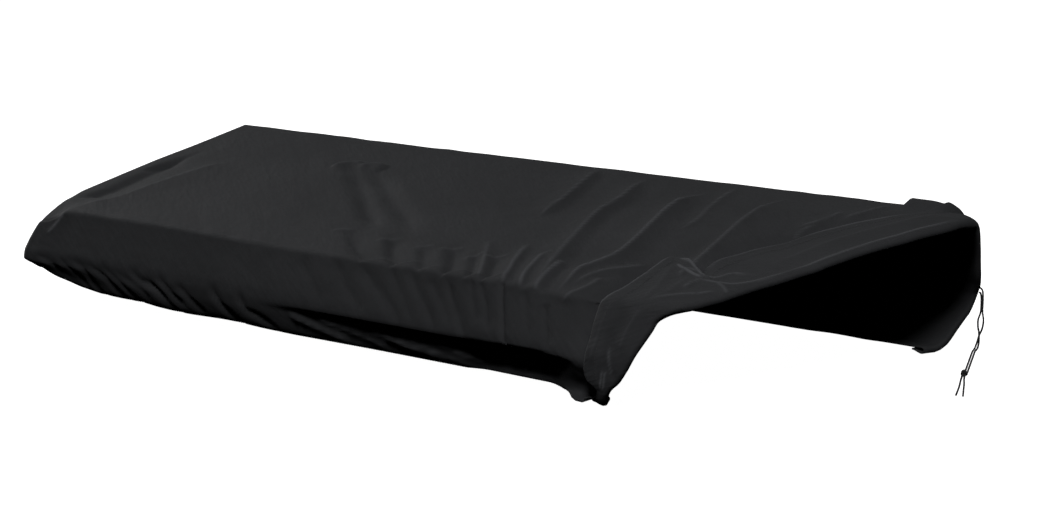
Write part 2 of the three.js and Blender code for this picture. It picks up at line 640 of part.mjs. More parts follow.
const dustCover = new THREE.Group();
dustCover.name = 'dust_cover';
const addPiece = (name, geometry, material) => {
  const piece = new THREE.Mesh(geometry, material);
  piece.name = name;
  dustCover.add(piece);
};

addPiece('cover', coverGeometry(), clothMaterial);
CORDS.forEach((cord) => addPiece(cord.name, cordGeometry(cord), cordMaterial));
addPiece('cord_knot', knotGeometry(), cordMaterial);

export default dustCover;
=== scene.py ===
"""Dust cover of black stretch cloth, its right end turned back, with a drawcord: the dressed part.

Lengths in the tables are millimetres: x runs along the cover to the right, y from front to back, z up.
A place on the cloth is x and s, the distance across the sheet from the front-top edge: s is below 0 on the
front wall, 0 to TOP_DEPTH on the top, and more than that on the back wall.
"""

import math
from typing import NamedTuple

import bpy
import numpy as np
from bpy.props import FloatProperty, FloatVectorProperty, IntProperty, PointerProperty
from mathutils import Matrix, Vector


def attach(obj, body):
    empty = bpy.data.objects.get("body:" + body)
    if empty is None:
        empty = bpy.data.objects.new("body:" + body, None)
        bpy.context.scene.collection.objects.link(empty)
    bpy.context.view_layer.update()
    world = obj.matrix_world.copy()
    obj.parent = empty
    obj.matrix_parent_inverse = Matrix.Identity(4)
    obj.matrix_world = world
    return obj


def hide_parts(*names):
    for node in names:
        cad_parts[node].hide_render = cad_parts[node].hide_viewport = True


bl_info = {
    "name": "Dust cover",
    "version": (1, 0, 0),
    "blender": (4, 5, 0),
    "location": "View3D > Sidebar > Dust cover",
    "description": "Makes a fitted stretch-cloth dust cover with its turned-back end and drawcord",
    "category": "Object",
}

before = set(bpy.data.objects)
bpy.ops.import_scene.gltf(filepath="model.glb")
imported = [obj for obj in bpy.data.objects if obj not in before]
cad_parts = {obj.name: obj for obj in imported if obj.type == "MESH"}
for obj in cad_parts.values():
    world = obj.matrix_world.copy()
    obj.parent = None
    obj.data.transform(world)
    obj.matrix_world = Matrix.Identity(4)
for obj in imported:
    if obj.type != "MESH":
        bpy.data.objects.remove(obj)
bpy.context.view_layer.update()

MM = 0.001
TOP_DEPTH = 360
WALL_DROP = 127
FRONT_Y = -182
BACK_Y = 178
FRONT_Z = -27
BACK_Z = 25.4
UNDERCUT_Z = -89.6
HEM_Z = -128
REST_Z = -137.2
EDGE_REACH = 4
EDGE_SINK = 1.0
SINK_DOWN = 0.8
SINK_IN = 0.6
CORNER_REACH = 44
FRONT_DIP_REACH = 44
DROOP_REACH = 58
CORNER_WRAP = 12
WRAP_REACH = 50
LOBE_FROM = 245
LOBE_FULL = 304
HANG_FROM = 304
HANG_FULL = 330
STRAIGHT_FROM = -470
STRAIGHT_FULL = -385
TUCK_FROM = -192
TUCK_FULL = 25


def table(columns, *rows):
    """Rows of numbers under named columns."""
    return dict(zip(columns.split(), np.array(rows, float).T))


# The top's front and left edges, and its crown: how high, and how that is spread from front to back
FRONT_EDGE = table(
    "x y z",
    (-552, -191, -42),
    (-538, -190, -40),
    (-524, -186, -34),
    (-513, -183, -28),
    (-495, -182, -26),
    (-325, -182, -25),
    (-175, -182, -27.6),
    (25, -182, -27.2),
    (110, -182, -25.8),
    (185, -182, -27),
    (253, -182, -30),
    (313, -182, -28),
    (403, -182, -28),
)
LEFT_EDGE = table(
    "y x", (-191, -552), (-164, -548), (-130, -552), (-104, -557.5), (1, -557), (90, -551), (178, -548)
)
CROWN_ALONG = table("x crown", (-563, 0), (-300, 2), (0, 1.5), (300, 6), (450, 10), (580, 11))
CROWN_ACROSS = table("s share", (0, 0), (180, 1), (275, 1), (TOP_DEPTH, 0))
# Wall sections by the distance down the cloth: how far out, and the level, which is 1 at the top edge,
# 0 at the undercut and -1 at the hem. The front wall's upper part is the same all along.
UPPER_FRONT = ((0, 0, 1), (8, 3.2, 0.88), (22, 9.4, 0.67), (40, 17.5, 0.4))
# Near the left corner the front wall rolls under
ROLLED_WALL = table(
    "down out level",
    *UPPER_FRONT,
    (56, 24, 0.16),
    (66, 25, 0),
    (76, 21.5, -0.22),
    (88, 16, -0.5),
    (102, 11, -0.88),
    (112, 4, -1),
    (WALL_DROP, -12, -1),
)
# Further along it hangs almost straight to its drawn-in hem
STRAIGHT_WALL = table(
    "down out level",
    *UPPER_FRONT,
    (56, 23.6, 0.16),
    (66, 25.6, 0),
    (76, 25.4, -0.24),
    (88, 22.5, -0.52),
    (102, 16, -0.86),
    (112, 8, -1),
    (WALL_DROP, -8, -1),
)
# Then it is tucked in under a sharp lower edge, and goes on under to its hem
TUCKED_WALL = table(
    "down out level",
    *UPPER_FRONT,
    (58, 24.8, 0.12),
    (65, 26, 0.0),
    (68, 21, -0.02),
    (75, 9, -0.08),
    (84, 6, -0.36),
    (95, 5, -0.7),
    (104, 3.5, -0.96),
    (112, 0, -1.05),
    (WALL_DROP, -14, -1.05),
)
# Beside the turned-back end it draws in less sharply, and comes out again at its hem
LOBE_WALL = table(
    "down out level",
    *UPPER_FRONT,
    (56, 24.5, 0.16),
    (66, 26.5, 0),
    (74, 24, -0.16),
    (82, 19.5, -0.36),
    (90, 14.5, -0.58),
    (100, 8, -0.87),
    (106, 8, -1.02),
    (112, 12, -1.13),
    (WALL_DROP, 24, -1.18),
)
# Under the turned-back end it hangs almost straight, and turns in at its hem
HANGING_WALL = table(
    "down out level",
    *UPPER_FRONT,
    (56, 24.5, 0.16),
    (66, 27, 0),
    (76, 28.5, -0.24),
    (88, 29.5, -0.56),
    (102, 25, -0.92),
    (112, 19, -1.04),
    (WALL_DROP, 6, -1.06),
)
# The left end and the back wall
LEFT_WALL = table(
    "down out level",
    (0, 0, 1),
    (8, 5, 0.9),
    (22, 12, 0.7),
    (40, 18.5, 0.45),
    (56, 22, 0.22),
    (66, 23, 0.05),
    (76, 19, -0.16),
    (88, 11, -0.42),
    (102, 1, -0.72),
    (112, -7, -0.86),
    (WALL_DROP, -22, -0.9),
)
BACK_WALL = table(
    "down out level",
    (0, 0, 1),
    (8, 3, 0.9),
    (22, 10, 0.68),
    (40, 18, 0.43),
    (56, 27, 0.24),
    (66, 28.8, 0.16),
    (76, 22, -0.02),
    (88, 8, -0.4),
    (102, -7, -0.88),
    (112, -14, -1),
    (WALL_DROP, -29, -1),
)
# How far the hem is drawn up, as a share of its drop below the undercut
HEM_RISE_FRONT = table(
    "x rise",
    (-542, 0.62),
    (-515, 0.36),
    (-480, 0.18),
    (-440, 0.1),
    (-375, 0.11),
    (-340, 0.05),
    (-300, 0.02),
    (-222, 0.07),
    (-160, 0.02),
    (-120, 0),
)
HEM_RISE_LEFT = table("s rise", (0, 0.62), (40, 0.3), (120, 0.1), (TOP_DEPTH, 0))
# The line along which the right end turns back, the roll's radius, the place where the turned-back cloth's
# edge lies, and that edge's height over the cloth under it. The edge has an ear, and a notch behind it.
TURN_LINE = table(
    "s x roll edge_x edge_s lift",
    (-WALL_DROP, 327, 2, 309, -WALL_DROP, 2.8),
    (-112, 333, 2.8, 317, -112, 2.8),
    (-102, 339, 3, 327, -101, 3),
    (-94, 343, 3.2, 334, -92, 4),
    (-88, 349, 3.8, 331, -88, 5),
    (-82, 356, 4.1, 322, -83, 5.5),
    (-74, 361.5, 4.3, 318, -75, 5.5),
    (-64, 367, 4.4, 317, -64, 5.5),
    (-40, 378, 4.6, 318, -40, 5.5),
    (-24, 385.5, 4.4, 318, -25, 6.5),
    (-14, 389.5, 4.3, 319, -15, 6.5),
    (-6, 400, 4.2, 321, -5, 6.5),
    (0, 413, 4.1, 331, 4, 6.5),
    (4, 420, 4, 335, 33, 6.5),
    (8, 425, 3.9, 334, 66, 6.5),
    (14, 431, 3.8, 334, 105, 5.5),
    (30, 444, 3.8, 362, 95, 5),
    (50, 456, 3.8, 397, 71, 4),
    (66, 466, 3.8, 391, 84, 4),
    (94, 486, 3.8, 398, 106, 4),
    (126, 503, 3.8, 412, 134, 4),
    (180, 528, 3.8, 441, 188, 3.6),
    (220, 550, 3.8, 456, 222, 3.2),
    (255, 567, 4, 477, 254, 2.8),
    (285, 576, 4.4, 504, 286, 2.8),
    (320, 576, 5.6, 524, 318, 2.8),
    (TOP_DEPTH, 563, 5.6, 530, TOP_DEPTH, 2.8),
    (TOP_DEPTH + 36, 561, 3.6, 532, TOP_DEPTH + 36, 2.8),
    (TOP_DEPTH + 62, 552, 3.2, 533, TOP_DEPTH + 62, 2.8),
    (TOP_DEPTH + WALL_DROP, 515, 3, 503, TOP_DEPTH + WALL_DROP, 2.8),
)
# How far the top sinks at the turn, towards the back
DROOP = table("s fall", (245, 0), (285, 4), (320, 10), (TOP_DEPTH, 16))


class Fold(NamedTuple):
    """A ridge (height above 0) or trough (below 0) along a path of (x, s) places.

    left and right are its spreads to each side of that direction, and crest the share of its height that is
    a narrow line along the path, and on a ridge the strength of the painted highlight along it."""

    name: str
    height: float
    left: float
    right: float
    crest: float
    path: tuple


FOLDS = (
    Fold("tension ridge", 4.5, 20, 40, 0.4,
         ((-514, 0), (-497, 26), (-478, 58), (-470, 105), (-460, 147), (-449, 192), (-443, 219))),
    Fold("trough beside it", -6, 10, 26, 0.1,
         ((-530, 44), (-526, 64), (-520, 86), (-521, 122), (-522, 159), (-524, 196), (-515, 222))),
    Fold("rim crease", -2.5, 4, 12, 0.4, ((-540, 154), (-533, 174), (-527, 192), (-522, 213), (-514, 248))),
    Fold("corner ridge", 2.5, 5, 5, 0.7, ((-511, 4), (-518, -7), (-525, -16), (-530, -25))),
    Fold("long trough 1", -7.5, 11, 13, 0.1, ((-256, 252), (-176, 184), (-132, 142), (-62, 80))),
    Fold("pillow end 1", 6, 6, 12, 0.2, ((-279, 240), (-265, 260), (-243, 267))),
    Fold("long trough 2", -7.5, 12, 13, 0.1, ((-229, 256), (-167, 213), (-117, 172), (-74, 140), (-2, 78))),
    Fold("pillow end 2", 6, 6, 11, 0.2, ((-246, 252), (-231, 266), (-207, 264))),
    Fold("front trough 1", -6, 19, 8, 0.15, ((-106, 80), (-60, 38), (-37, 20), (-15, 7), (-10, 2))),
    Fold("front trough 2", -6.5, 18, 8, 0.15, ((-38, 78), (2, 32), (27, 6), (31, 2))),
    Fold("front trough 3", -4.5, 14, 7, 0.15, ((20, 66), (56, 22), (68, 6), (72, 2))),
    Fold("front trough 4", -6.5, 16, 8, 0.15, ((52, 80), (92, 28), (105, 6), (108, 2))),
    Fold("front trough 5", -5, 11, 6, 0.15, ((94, 70), (127, 22), (137, 6), (140, 2))),
    Fold("front trough 6", -5.5, 12, 7, 0.15, ((120, 74), (151, 24), (159, 6), (162, 2))),
    Fold("front ridge 5", 2.5, 8, 8, 0.3, ((90, 98), (128, 38), (150, 2))),
    Fold("tuck 1", 1.6, 4, 6, 0.15, ((-114, 59), (-102, 68), (-90, 75))),
    Fold("tuck 2", 1.6, 4, 6, 0.15, ((-41, 54), (-28, 64), (-15, 72))),
    Fold("tuck 3", 1.2, 4, 6, 0.15, ((17, 50), (28, 58), (39, 65))),
    Fold("tuck 4", 1.6, 4, 6, 0.15, ((50, 56), (63, 65), (76, 74))),
    Fold("tuck 5", 1.2, 4, 6, 0.15, ((94, 46), (104, 56), (112, 64))),
    Fold("tuck 6", 1.4, 4, 6, 0.15, ((116, 52), (130, 60), (145, 66))),
    Fold("wall crease 0", -1.6, 9, 9, 0.2, ((-110, -8), (-84, -34), (-56, -58))),
    Fold("wall crease 1", -2.2, 8, 8, 0.2, ((-60, -4), (-24, -36), (4, -60))),
    Fold("wall crease 2", -3, 8, 7, 0.2, ((-24, -2), (12, -26), (42, -46), (66, -66))),
    Fold("wall crease 3", -2.4, 7, 7, 0.2, ((24, 0), (42, -21), (61, -39), (86, -66))),
    Fold("wall crease 4", -3.4, 7, 7, 0.2, ((50, 2), (74, -24), (91, -40), (114, -64))),
    Fold("wall crease 5", -2, 6, 6, 0.2, ((84, -8), (108, -30), (134, -58))),
    Fold("wall crease 6", -3.4, 7, 7, 0.2, ((108, -4), (124, -28), (138, -44), (156, -66))),
    Fold("wall crease 7", -2, 6, 6, 0.2, ((142, -2), (151, -22), (166, -48))),
    Fold("wall crease 8", -2.4, 6, 6, 0.2, ((154, -2), (168, -22), (182, -54))),
    Fold("wall crease 10", -1.6, 7, 7, 0.2, ((216, -2), (226, -26), (238, -60))),
    Fold("sharp crease", -4.5, 4, 5, 0.6,
         ((183, 4), (186, -3), (190, -18), (198, -39), (204, -60), (206, -68))),
    Fold("crease beside the tongue", -2, 7, 7, 0.3, ((246, -12), (254, -32), (264, -58))),
    Fold("short ridge 1", 5, 7, 12, 0.5, ((142, 106), (162, 52), (174, 26), (186, -3))),
    Fold("short ridge 2", 4.5, 7, 11, 0.5, ((184, 86), (194, 34), (210, -2))),
    Fold("short ridge 3", 4.5, 7, 11, 0.5, ((218, 70), (223, 27), (230, -2))),
    Fold("long ridge 1", 6.5, 20, 10, 0.35,
         ((100, 178), (98, 200), (96, 226), (86, 267), (72, 320), (58, 356))),
    Fold("long ridge 2", 7.5, 20, 11, 0.4,
         ((228, -6), (211, 51), (196, 99), (182, 147), (164, 210), (163, 252), (151, 302), (138, 352))),
    Fold("long ridge 3", 9.5, 18, 22, 0.55,
         ((258, -8), (256, 27), (256, 50), (265, 70), (270, 100), (262, 150), (247, 212), (240, 252),
          (241, 282), (248, 314))),
    Fold("long ridge 4", 11, 11, 44, 0.4,
         ((372, 80), (370, 99), (367, 129), (360, 176), (351, 237), (349, 264), (350, 325))),
    Fold("soft ridge 1", 2.5, 11, 9, 0.3, ((289, 186), (290, 220), (280, 262), (272, 310), (266, 344))),
    Fold("soft ridge 2", 2, 10, 8, 0.25, ((418, 231), (428, 255), (440, 290))),
    Fold("soft ridge 3", 1.6, 10, 8, 0.2, ((427, 206), (424, 222), (429, 246))),
    Fold("soft ridge 4", 2, 10, 8, 0.25, ((448, 270), (460, 300), (470, 340))),
    Fold("front ridge a", 3, 9, 9, 0.25, ((266, 18), (278, 51), (296, 72), (312, 92))),
    Fold("front ridge b", 3, 9, 8, 0.3, ((268, -9), (284, 15), (288, 44))),
    Fold("puffed back edge", 9, 20, 24, 0.1, ((478, 356), (506, 358), (548, 354))),
    Fold("trough beside the ear", -8, 16, 9, 0.1,
         ((310, -76), (309, -54), (309, -28), (312, -6), (321, 16), (322, 45), (322, 75), (324, 104))),
    Fold("trough beside the band", -6, 20, 5, 0.1,
         ((382, 84), (389, 108), (402, 136), (430, 190), (447, 226), (468, 259), (494, 292), (512, 322))),
    Fold("gather 1", -2.8, 5, 4, 0.2, ((-530, -56), (-517, -66), (-506, -90))),
    Fold("gather 2", -2.4, 5, 4, 0.2, ((-506, -60), (-490, -68), (-476, -86), (-462, -108))),
    Fold("gather 3", -3.2, 6, 4, 0.2, ((-490, -59), (-462, -66), (-454, -87), (-434, -112))),
    Fold("gather 4", -2.8, 5, 4, 0.2, ((-464, -59), (-438, -68), (-420, -82), (-397, -108))),
    Fold("gather 5", -2.4, 5, 4, 0.2, ((-444, -64), (-424, -72), (-408, -88), (-386, -112))),
    Fold("gather 6", -3.2, 5, 4, 0.2, ((-434, -59), (-407, -70), (-388, -86), (-368, -114))),
    Fold("gather 7", -2.8, 5, 4, 0.2, ((-412, -60), (-383, -70), (-359, -81), (-340, -104))),
    Fold("gather 8", -5, 6, 4, 0.2, ((-378, -57), (-358, -69), (-336, -76), (-314, -92))),
    Fold("gather 9", -3, 6, 5, 0.2, ((-354, -60), (-338, -72), (-318, -92), (-300, -114))),
    Fold("gather 10", -4.8, 7, 4, 0.2, ((-334, -59), (-317, -70), (-304, -82), (-286, -98))),
    Fold("gather 11", -4, 6, 5, 0.2, ((-296, -64), (-274, -82), (-252, -104))),
    Fold("gather 12", -5.5, 7, 4, 0.2, ((-238, -56), (-226, -78), (-214, -92), (-196, -112))),
    Fold("gather 13", -5, 7, 4, 0.2, ((-194, -56), (-182, -82), (-167, -88), (-134, -108))),
    Fold("deep tuck", -9, 22, 16, 0, ((130, -94), (170, -93), (205, -92), (240, -91), (272, -90))),
    Fold("tucked ridge 1", 5, 5, 5, 0.2, ((-118, -78), (-78, -90), (-30, -101))),
    Fold("tucked ridge 2", 5, 5, 5, 0.2, ((-76, -79), (-32, -88), (30, -100))),
    Fold("tucked ridge 3", 4, 4, 5, 0.2, ((-50, -78), (6, -87), (82, -98))),
    Fold("tucked ridge 4", 5, 5, 5, 0.2, ((-4, -80), (43, -90), (112, -101))),
    Fold("tucked ridge 5", 4, 5, 5, 0.2, ((36, -80), (86, -92), (140, -101))),
    Fold("tucked ridge 6", 5, 5, 5, 0.2, ((64, -80), (115, -88), (168, -100))),
    Fold("tucked ridge 7", 4, 5, 5, 0.2, ((200, -78), (204, -87), (218, -99))),
)
# Folds on the turned-back end only: they rise, so that it stays clear of the cloth under it
TURNED_FOLDS = (
    Fold("ear's left edge", 2, 5, 10, 0.6,
         ((318, -14), (321, -4), (331, 4), (334, 24), (335, 44), (334, 78), (334, 93), (335, 106))),
    Fold("ear's right edge", 2.8, 4, 6, 0.6,
         ((335, 106), (345, 104), (361, 95), (378, 85), (397, 71), (406, 64))),
    Fold("ear's second line", 1.6, 4, 4, 0.7, ((354, 88), (364, 81), (382, 72), (404, 62))),
    Fold("pinch line 1", 2.4, 6, 7, 0.35, ((392, 68), (415, 69), (430, 82), (462, 80))),
    Fold("pinch line 2", 2.4, 6, 7, 0.4, ((398, 60), (424, 56), (446, 57), (466, 72), (490, 110))),
    Fold("pinch line 3", 1.8, 5, 6, 0.3, ((404, 62), (398, 48), (398, 34))),
    Fold("pinch line 4", 1.6, 5, 6, 0.3, ((390, 76), (372, 78), (374, 60))),
    Fold("casing", 2, 5, 6, 0.5,
         ((480, 92), (495, 120), (508, 150), (528, 194), (552, 240), (566, 268), (572, 290))),
    Fold("band's edge", 1.2, 4, 5, 0.6,
         ((394, 78), (397, 106), (411, 134), (439, 188), (456, 222), (477, 254), (504, 286), (522, 318))),
    Fold("lower line", 2.2, 7, 8, 0.3, ((378, 2), (403, 20), (422, 27), (436, 40))),
    Fold("curve", 1.2, 7, 7, 0.3, ((424, 56), (439, 47), (450, 36))),
    Fold("tongue swell", 2.5, 9, 12, 0.1, ((338, 4), (331, -21), (328, -45), (324, -68))),
    Fold("tongue gather 1", 0.3, 2.5, 2.5, 0.5, ((342, -70), (340, -90))),
    Fold("tongue gather 2", 0.3, 2.5, 2.5, 0.5, ((346, -70), (344, -90))),
    Fold("tongue line", 0.4, 4, 4, 0.4, ((346, -48), (350, -62), (355, -73))),
    Fold("tongue slit", -1.6, 3, 3, 0.4, ((347, -66), (356, -73), (364, -77))),
    Fold("tongue fold", 2, 8, 8, 0.1, ((374, -2), (364, -27), (360, -52))),
    Fold("ear fan 1", 2, 10, 10, 0.1, ((349, 86), (366, 31), (370, -2))),
    Fold("ear fan 2", 2, 10, 10, 0.1, ((386, 64), (385, 25), (378, 2))),
    Fold("band swell", 3, 18, 18, 0.1,
         ((451, 98), (469, 146), (488, 196), (511, 241), (536, 282), (552, 318))),
)
# Steps along a fold's path, the share of it over which each end fades, and how many spreads away it lifts
FOLD_STEPS = 24
FOLD_FADE = 0.22
FOLD_REACH = 2.6
# How steeply a crest falls away, and the half width of the painted highlight line along it
CREST_FALL = 3.4
CREST_LINE = 1.5
# Soft ripples that run aslant, as the long troughs do: the width and the height of each size, and how many
# times longer than wide they are. Their strength changes from patch to patch.
RIPPLES = ((30, 0.75), (15, 0.4))
RIPPLE_LENGTH = 3.3
RIPPLE_SLANT = math.radians(41.3)
RIPPLE_PATCH = 140
RIPPLE_STRENGTH = 0.8
# Where the ripples fade out: from the left edge, above the hem at the front, and on the back wall by the cord
RIPPLE_EDGE = 40
RIPPLE_HEM = (-110, -80)
RIPPLE_BACK = (TOP_DEPTH - 20, TOP_DEPTH)
RIPPLE_CORD = (420, 500)
NOISE_SEED = 11
NOISE_CELLS = 64
NOISE = np.random.default_rng(NOISE_SEED).uniform(-1, 1, (NOISE_CELLS, NOISE_CELLS))

# Rows across the sheet, as the distance where each group starts and its number of rows
WALL_ROW_GROUPS = table("down rows", (0, 8), (16, 26), (104, 5), (WALL_DROP, 0))
TOP_ROW_GROUPS = table("s rows", (0, 16), (16, 28), (66, 70), (TOP_DEPTH, 0))
# Columns along the sheet: at the left end, in groups along the middle, up to the turn, round the roll and
# turned back. The inner side keeps every INNER_STEP-th of those before the turn.
LEFT_COLUMNS = 34
MIDDLE_GROUPS = table("x rows", (-430, 75), (-130, 60), (90, 0))
MIDDLE_COLUMNS = int(MIDDLE_GROUPS["rows"].sum())
RIGHT_COLUMNS = 150
ROLL_COLUMNS = 8
TURNED_COLUMNS = 36
INNER_STEP = 6

LIE_Z = -136.0
CORD_ROUTES = {
    "outer": (
        (556.5, 205.4, -65.6), (560, 204.9, -68.6), (561.4, 203.7, -78), (562, 202, -91.6),
        (563.8, 201.2, -101.7), (562.5, 200.8, -111.2), (559.6, 200.2, -118.6), (557, 199.6, -128),
        (555.6, 197.6, -134), (555.5, 193.2, LIE_Z), (557, 189, LIE_Z), (563, 173.5, LIE_Z),
        (573.5, 146.7, LIE_Z), (584.4, 119, LIE_Z), (586.8, 112.8, LIE_Z), (590.6, 101.4, -133.8),
    ),
    "inner": (
        (555.8, 205.5, -70.6), (557.8, 205.4, -73), (558.7, 205, -80), (558.4, 204.6, -93),
        (555.7, 204.3, -102.5), (555.8, 204.2, -110.8), (557.2, 204, -117.5), (557.8, 203, -128),
        (557.8, 200.2, -133.8), (558, 194.4, LIE_Z), (559.5, 190, LIE_Z), (565.6, 174.5, LIE_Z),
        (576.1, 147.7, LIE_Z), (587, 120, LIE_Z), (589.5, 113.7, LIE_Z), (593.3, 102.3, -133.8),
    ),
    "left": (
        (592.7, 95, -133.8), (594.2, 90.6, -135.4), (595.9, 86, LIE_Z), (598, 81, LIE_Z),
        (607.6, 58.6, LIE_Z), (618.4, 30.7, LIE_Z),
    ),
    "right": (
        (595.4, 95.6, -133.8), (597.2, 91, -135.4), (599.3, 86.4, LIE_Z), (601.6, 82, LIE_Z),
        (608.6, 68.1, LIE_Z), (616.6, 51.3, LIE_Z), (626.1, 31.5, LIE_Z),
    ),
}
KNOT_CENTRE = (593, 98.6, -132.9)
KNOT_AXIS = (0.3, -0.954, 0)
KNOT_RING = 2.1
KNOT_STRETCH = 1.5
# The knot's loop goes twice round, and in and out three times
KNOT_TURNS = 2
KNOT_WAVES = 3
KNOT_STEPS = 360


# Settings


def length_setting(name, description, default):
    return FloatProperty(name=name, description=description, default=default, unit="LENGTH")


def power_setting(name, description, default):
    return FloatProperty(name=name, description=description, default=default, unit="POWER")


def colour_setting(description, default):
    return FloatVectorProperty(
        name="Colour", description=description, default=default, size=3, subtype="COLOR"
    )


class CoverSettings(bpy.types.PropertyGroup):
    """Sizes and finish of the cloth."""

    thickness: length_setting("Thickness", "Thickness of the single cloth", 0.0012)
    hem_width: length_setting("Hem width", "Width of the doubled cloth along every free edge", 0.016)
    hem_rise: length_setting("Hem rise", "How much thicker the doubled cloth is", 0.0007)
    fold_strength: FloatProperty(
        name="Fold strength", description="Scales the height of every fold", default=1.0, subtype="FACTOR"
    )
    colour: colour_setting("Colour of the cloth", (0.0226, 0.0233, 0.0252))
    knit_pitch: length_setting("Knit pitch", "Distance between the knit's ribs", 0.0011)


class StitchSettings(bpy.types.PropertyGroup):
    """Sizes and colour of the hem's stitches."""

    pitch: length_setting("Pitch", "Distance from one stitch to the next", 0.0036)
    length: length_setting("Length", "Length of one stitch", 0.0027)
    thread: length_setting("Thread", "Thickness of the thread", 0.0005)
    inset: length_setting("Inset", "Distance of the stitches from the free edge", 0.0145)
    colour: colour_setting("Colour of the thread", (0.014, 0.0145, 0.0155))


class DrawcordSettings(bpy.types.PropertyGroup):
    """Sizes and finish of the drawcord."""

    diameter: length_setting("Diameter", "Diameter of the round cord", 0.0022)
    plait_pitch: length_setting("Plait pitch", "Length of one turn of the plait", 0.0042)
    plait_strands: IntProperty(name="Plait strands", description="Strands that wind each way", default=4)
    colour: colour_setting("Colour of the cord", (0.012, 0.012, 0.0125))


class StageSettings(bpy.types.PropertyGroup):
    """Floor and light."""

    floor_size: length_setting("Floor size", "Side of the square floor", 24.0)
    sky: FloatProperty(name="Sky", description="Strength of the light from all round above", default=0.01)
    key_power: power_setting("Key light", "Power of the main light", 20.0)
    back_power: power_setting("Back light", "Power of the light behind", 4.0)
    front_power: power_setting("Front light", "Power of the front light", 110.0)


# The cloth's shape


def track(rows, key, column):
    """Smooth curve through one column of a table that never overshoots its rows."""
    keys, values = rows[key], rows[column]
    slopes = np.diff(values) / np.diff(keys)
    before = np.concatenate([slopes[:1], slopes])
    after = np.concatenate([slopes, slopes[-1:]])
    same_way = before * after > 0
    tangents = np.where(same_way, 2 * before * after / np.where(same_way, before + after, 1), 0)

    def at(where):
        where = np.clip(where, keys[0], keys[-1])
        i = np.clip(np.searchsorted(keys, where, side="right") - 1, 0, len(keys) - 2)
        span = keys[i + 1] - keys[i]
        t = (where - keys[i]) / span
        rest = 1 - t
        ends = values[i] * rest**2 * (1 + 2 * t) + values[i + 1] * t**2 * (3 - 2 * t)
        return ends + span * t * rest * (tangents[i] * rest - tangents[i + 1] * t)

    return at


def smooth(value, low, high):
    """0 at low, 1 at high, and an S-shaped rise between them."""
    t = np.clip((value - low) / (high - low), 0, 1)
    return t * t * (3 - 2 * t)


def mix(low, high, share):
    return low + (high - low) * share


def wall_tracks(rows):
    return track(rows, "down", "out"), track(rows, "down", "level")


front_y = track(FRONT_EDGE, "x", "y")
front_z = track(FRONT_EDGE, "x", "z")
left_x = track(LEFT_EDGE, "y", "x")
crown_along = track(CROWN_ALONG, "x", "crown")
crown_across = track(CROWN_ACROSS, "s", "share")
turn_x = track(TURN_LINE, "s", "x")
edge_x = track(TURN_LINE, "s", "edge_x")
edge_s = track(TURN_LINE, "s", "edge_s")
roll_radius = track(TURN_LINE, "s", "roll")
edge_lift = track(TURN_LINE, "s", "lift")
droop_fall = track(DROOP, "s", "fall")
rise_front = track(HEM_RISE_FRONT, "x", "rise")
rise_left = track(HEM_RISE_LEFT, "s", "rise")
FRONT_WALLS = (ROLLED_WALL, STRAIGHT_WALL, TUCKED_WALL, LOBE_WALL, HANGING_WALL)
WALLS = [wall_tracks(rows) for rows in FRONT_WALLS + (LEFT_WALL, BACK_WALL)]


def plane_z(y):
    return FRONT_Z + (BACK_Z - FRONT_Z) * (y - FRONT_Y) / (BACK_Y - FRONT_Y)


def softened(distance):
    return EDGE_SINK * np.clip(1 - distance / EDGE_REACH, 0, 1) ** 2


def near_turn(x, s):
    return np.clip((x - turn_x(s) + DROOP_REACH) / DROOP_REACH, 0, 1) ** 2


def top_point(x, s):
    """The top before its edges are rounded."""
    edge_y = front_y(x)
    corner = near_turn(x, s)
    y = edge_y + (BACK_Y - edge_y) * s / TOP_DEPTH
    dip = (front_z(x) - plane_z(edge_y)) * np.clip(1 - s / FRONT_DIP_REACH, 0, 1) ** 2
    z = plane_z(y) + crown_along(x) * crown_across(s) + dip - droop_fall(s) * corner
    wrap = CORNER_WRAP * corner * smooth(s, TOP_DEPTH - WRAP_REACH, TOP_DEPTH)
    return np.stack([x, y - wrap, z], -1)


def front_shares(x):
    """How much of each front wall section there is along the front."""
    straight = smooth(x, STRAIGHT_FROM, STRAIGHT_FULL)
    tucked = smooth(x, TUCK_FROM, TUCK_FULL)
    lobe = smooth(x, LOBE_FROM, LOBE_FULL)
    hanging = smooth(x, HANG_FROM, HANG_FULL)
    return 1 - straight, straight - tucked, tucked - lobe, lobe - hanging, hanging


def wall_point(edge, way_x, way_y, down, rise):
    """A wall point below a top-edge point; way is the outward direction there."""
    front = np.maximum(0, -way_y) ** 2
    shares = [front * share for share in front_shares(edge[..., 0])]
    shares += [way_x**2, np.maximum(0, way_y) ** 2]
    level = sum(share * wall[1](down) for share, wall in zip(shares, WALLS))
    sink = softened(down)
    out = sum(share * wall[0](down) for share, wall in zip(shares, WALLS)) - SINK_IN * sink
    span = np.where(level > 0, edge[..., 2] - UNDERCUT_Z, (UNDERCUT_Z - HEM_Z) * (1 - rise))
    z = UNDERCUT_Z + span * level - SINK_DOWN * sink
    return np.stack([edge[..., 0] + way_x * out, edge[..., 1] + way_y * out, z], -1)


def corner_angle(distance):
    """How far the outward direction has swung to the diagonal near an upright corner."""
    return np.pi / 4 * (1 - smooth(distance, 0, CORNER_REACH))


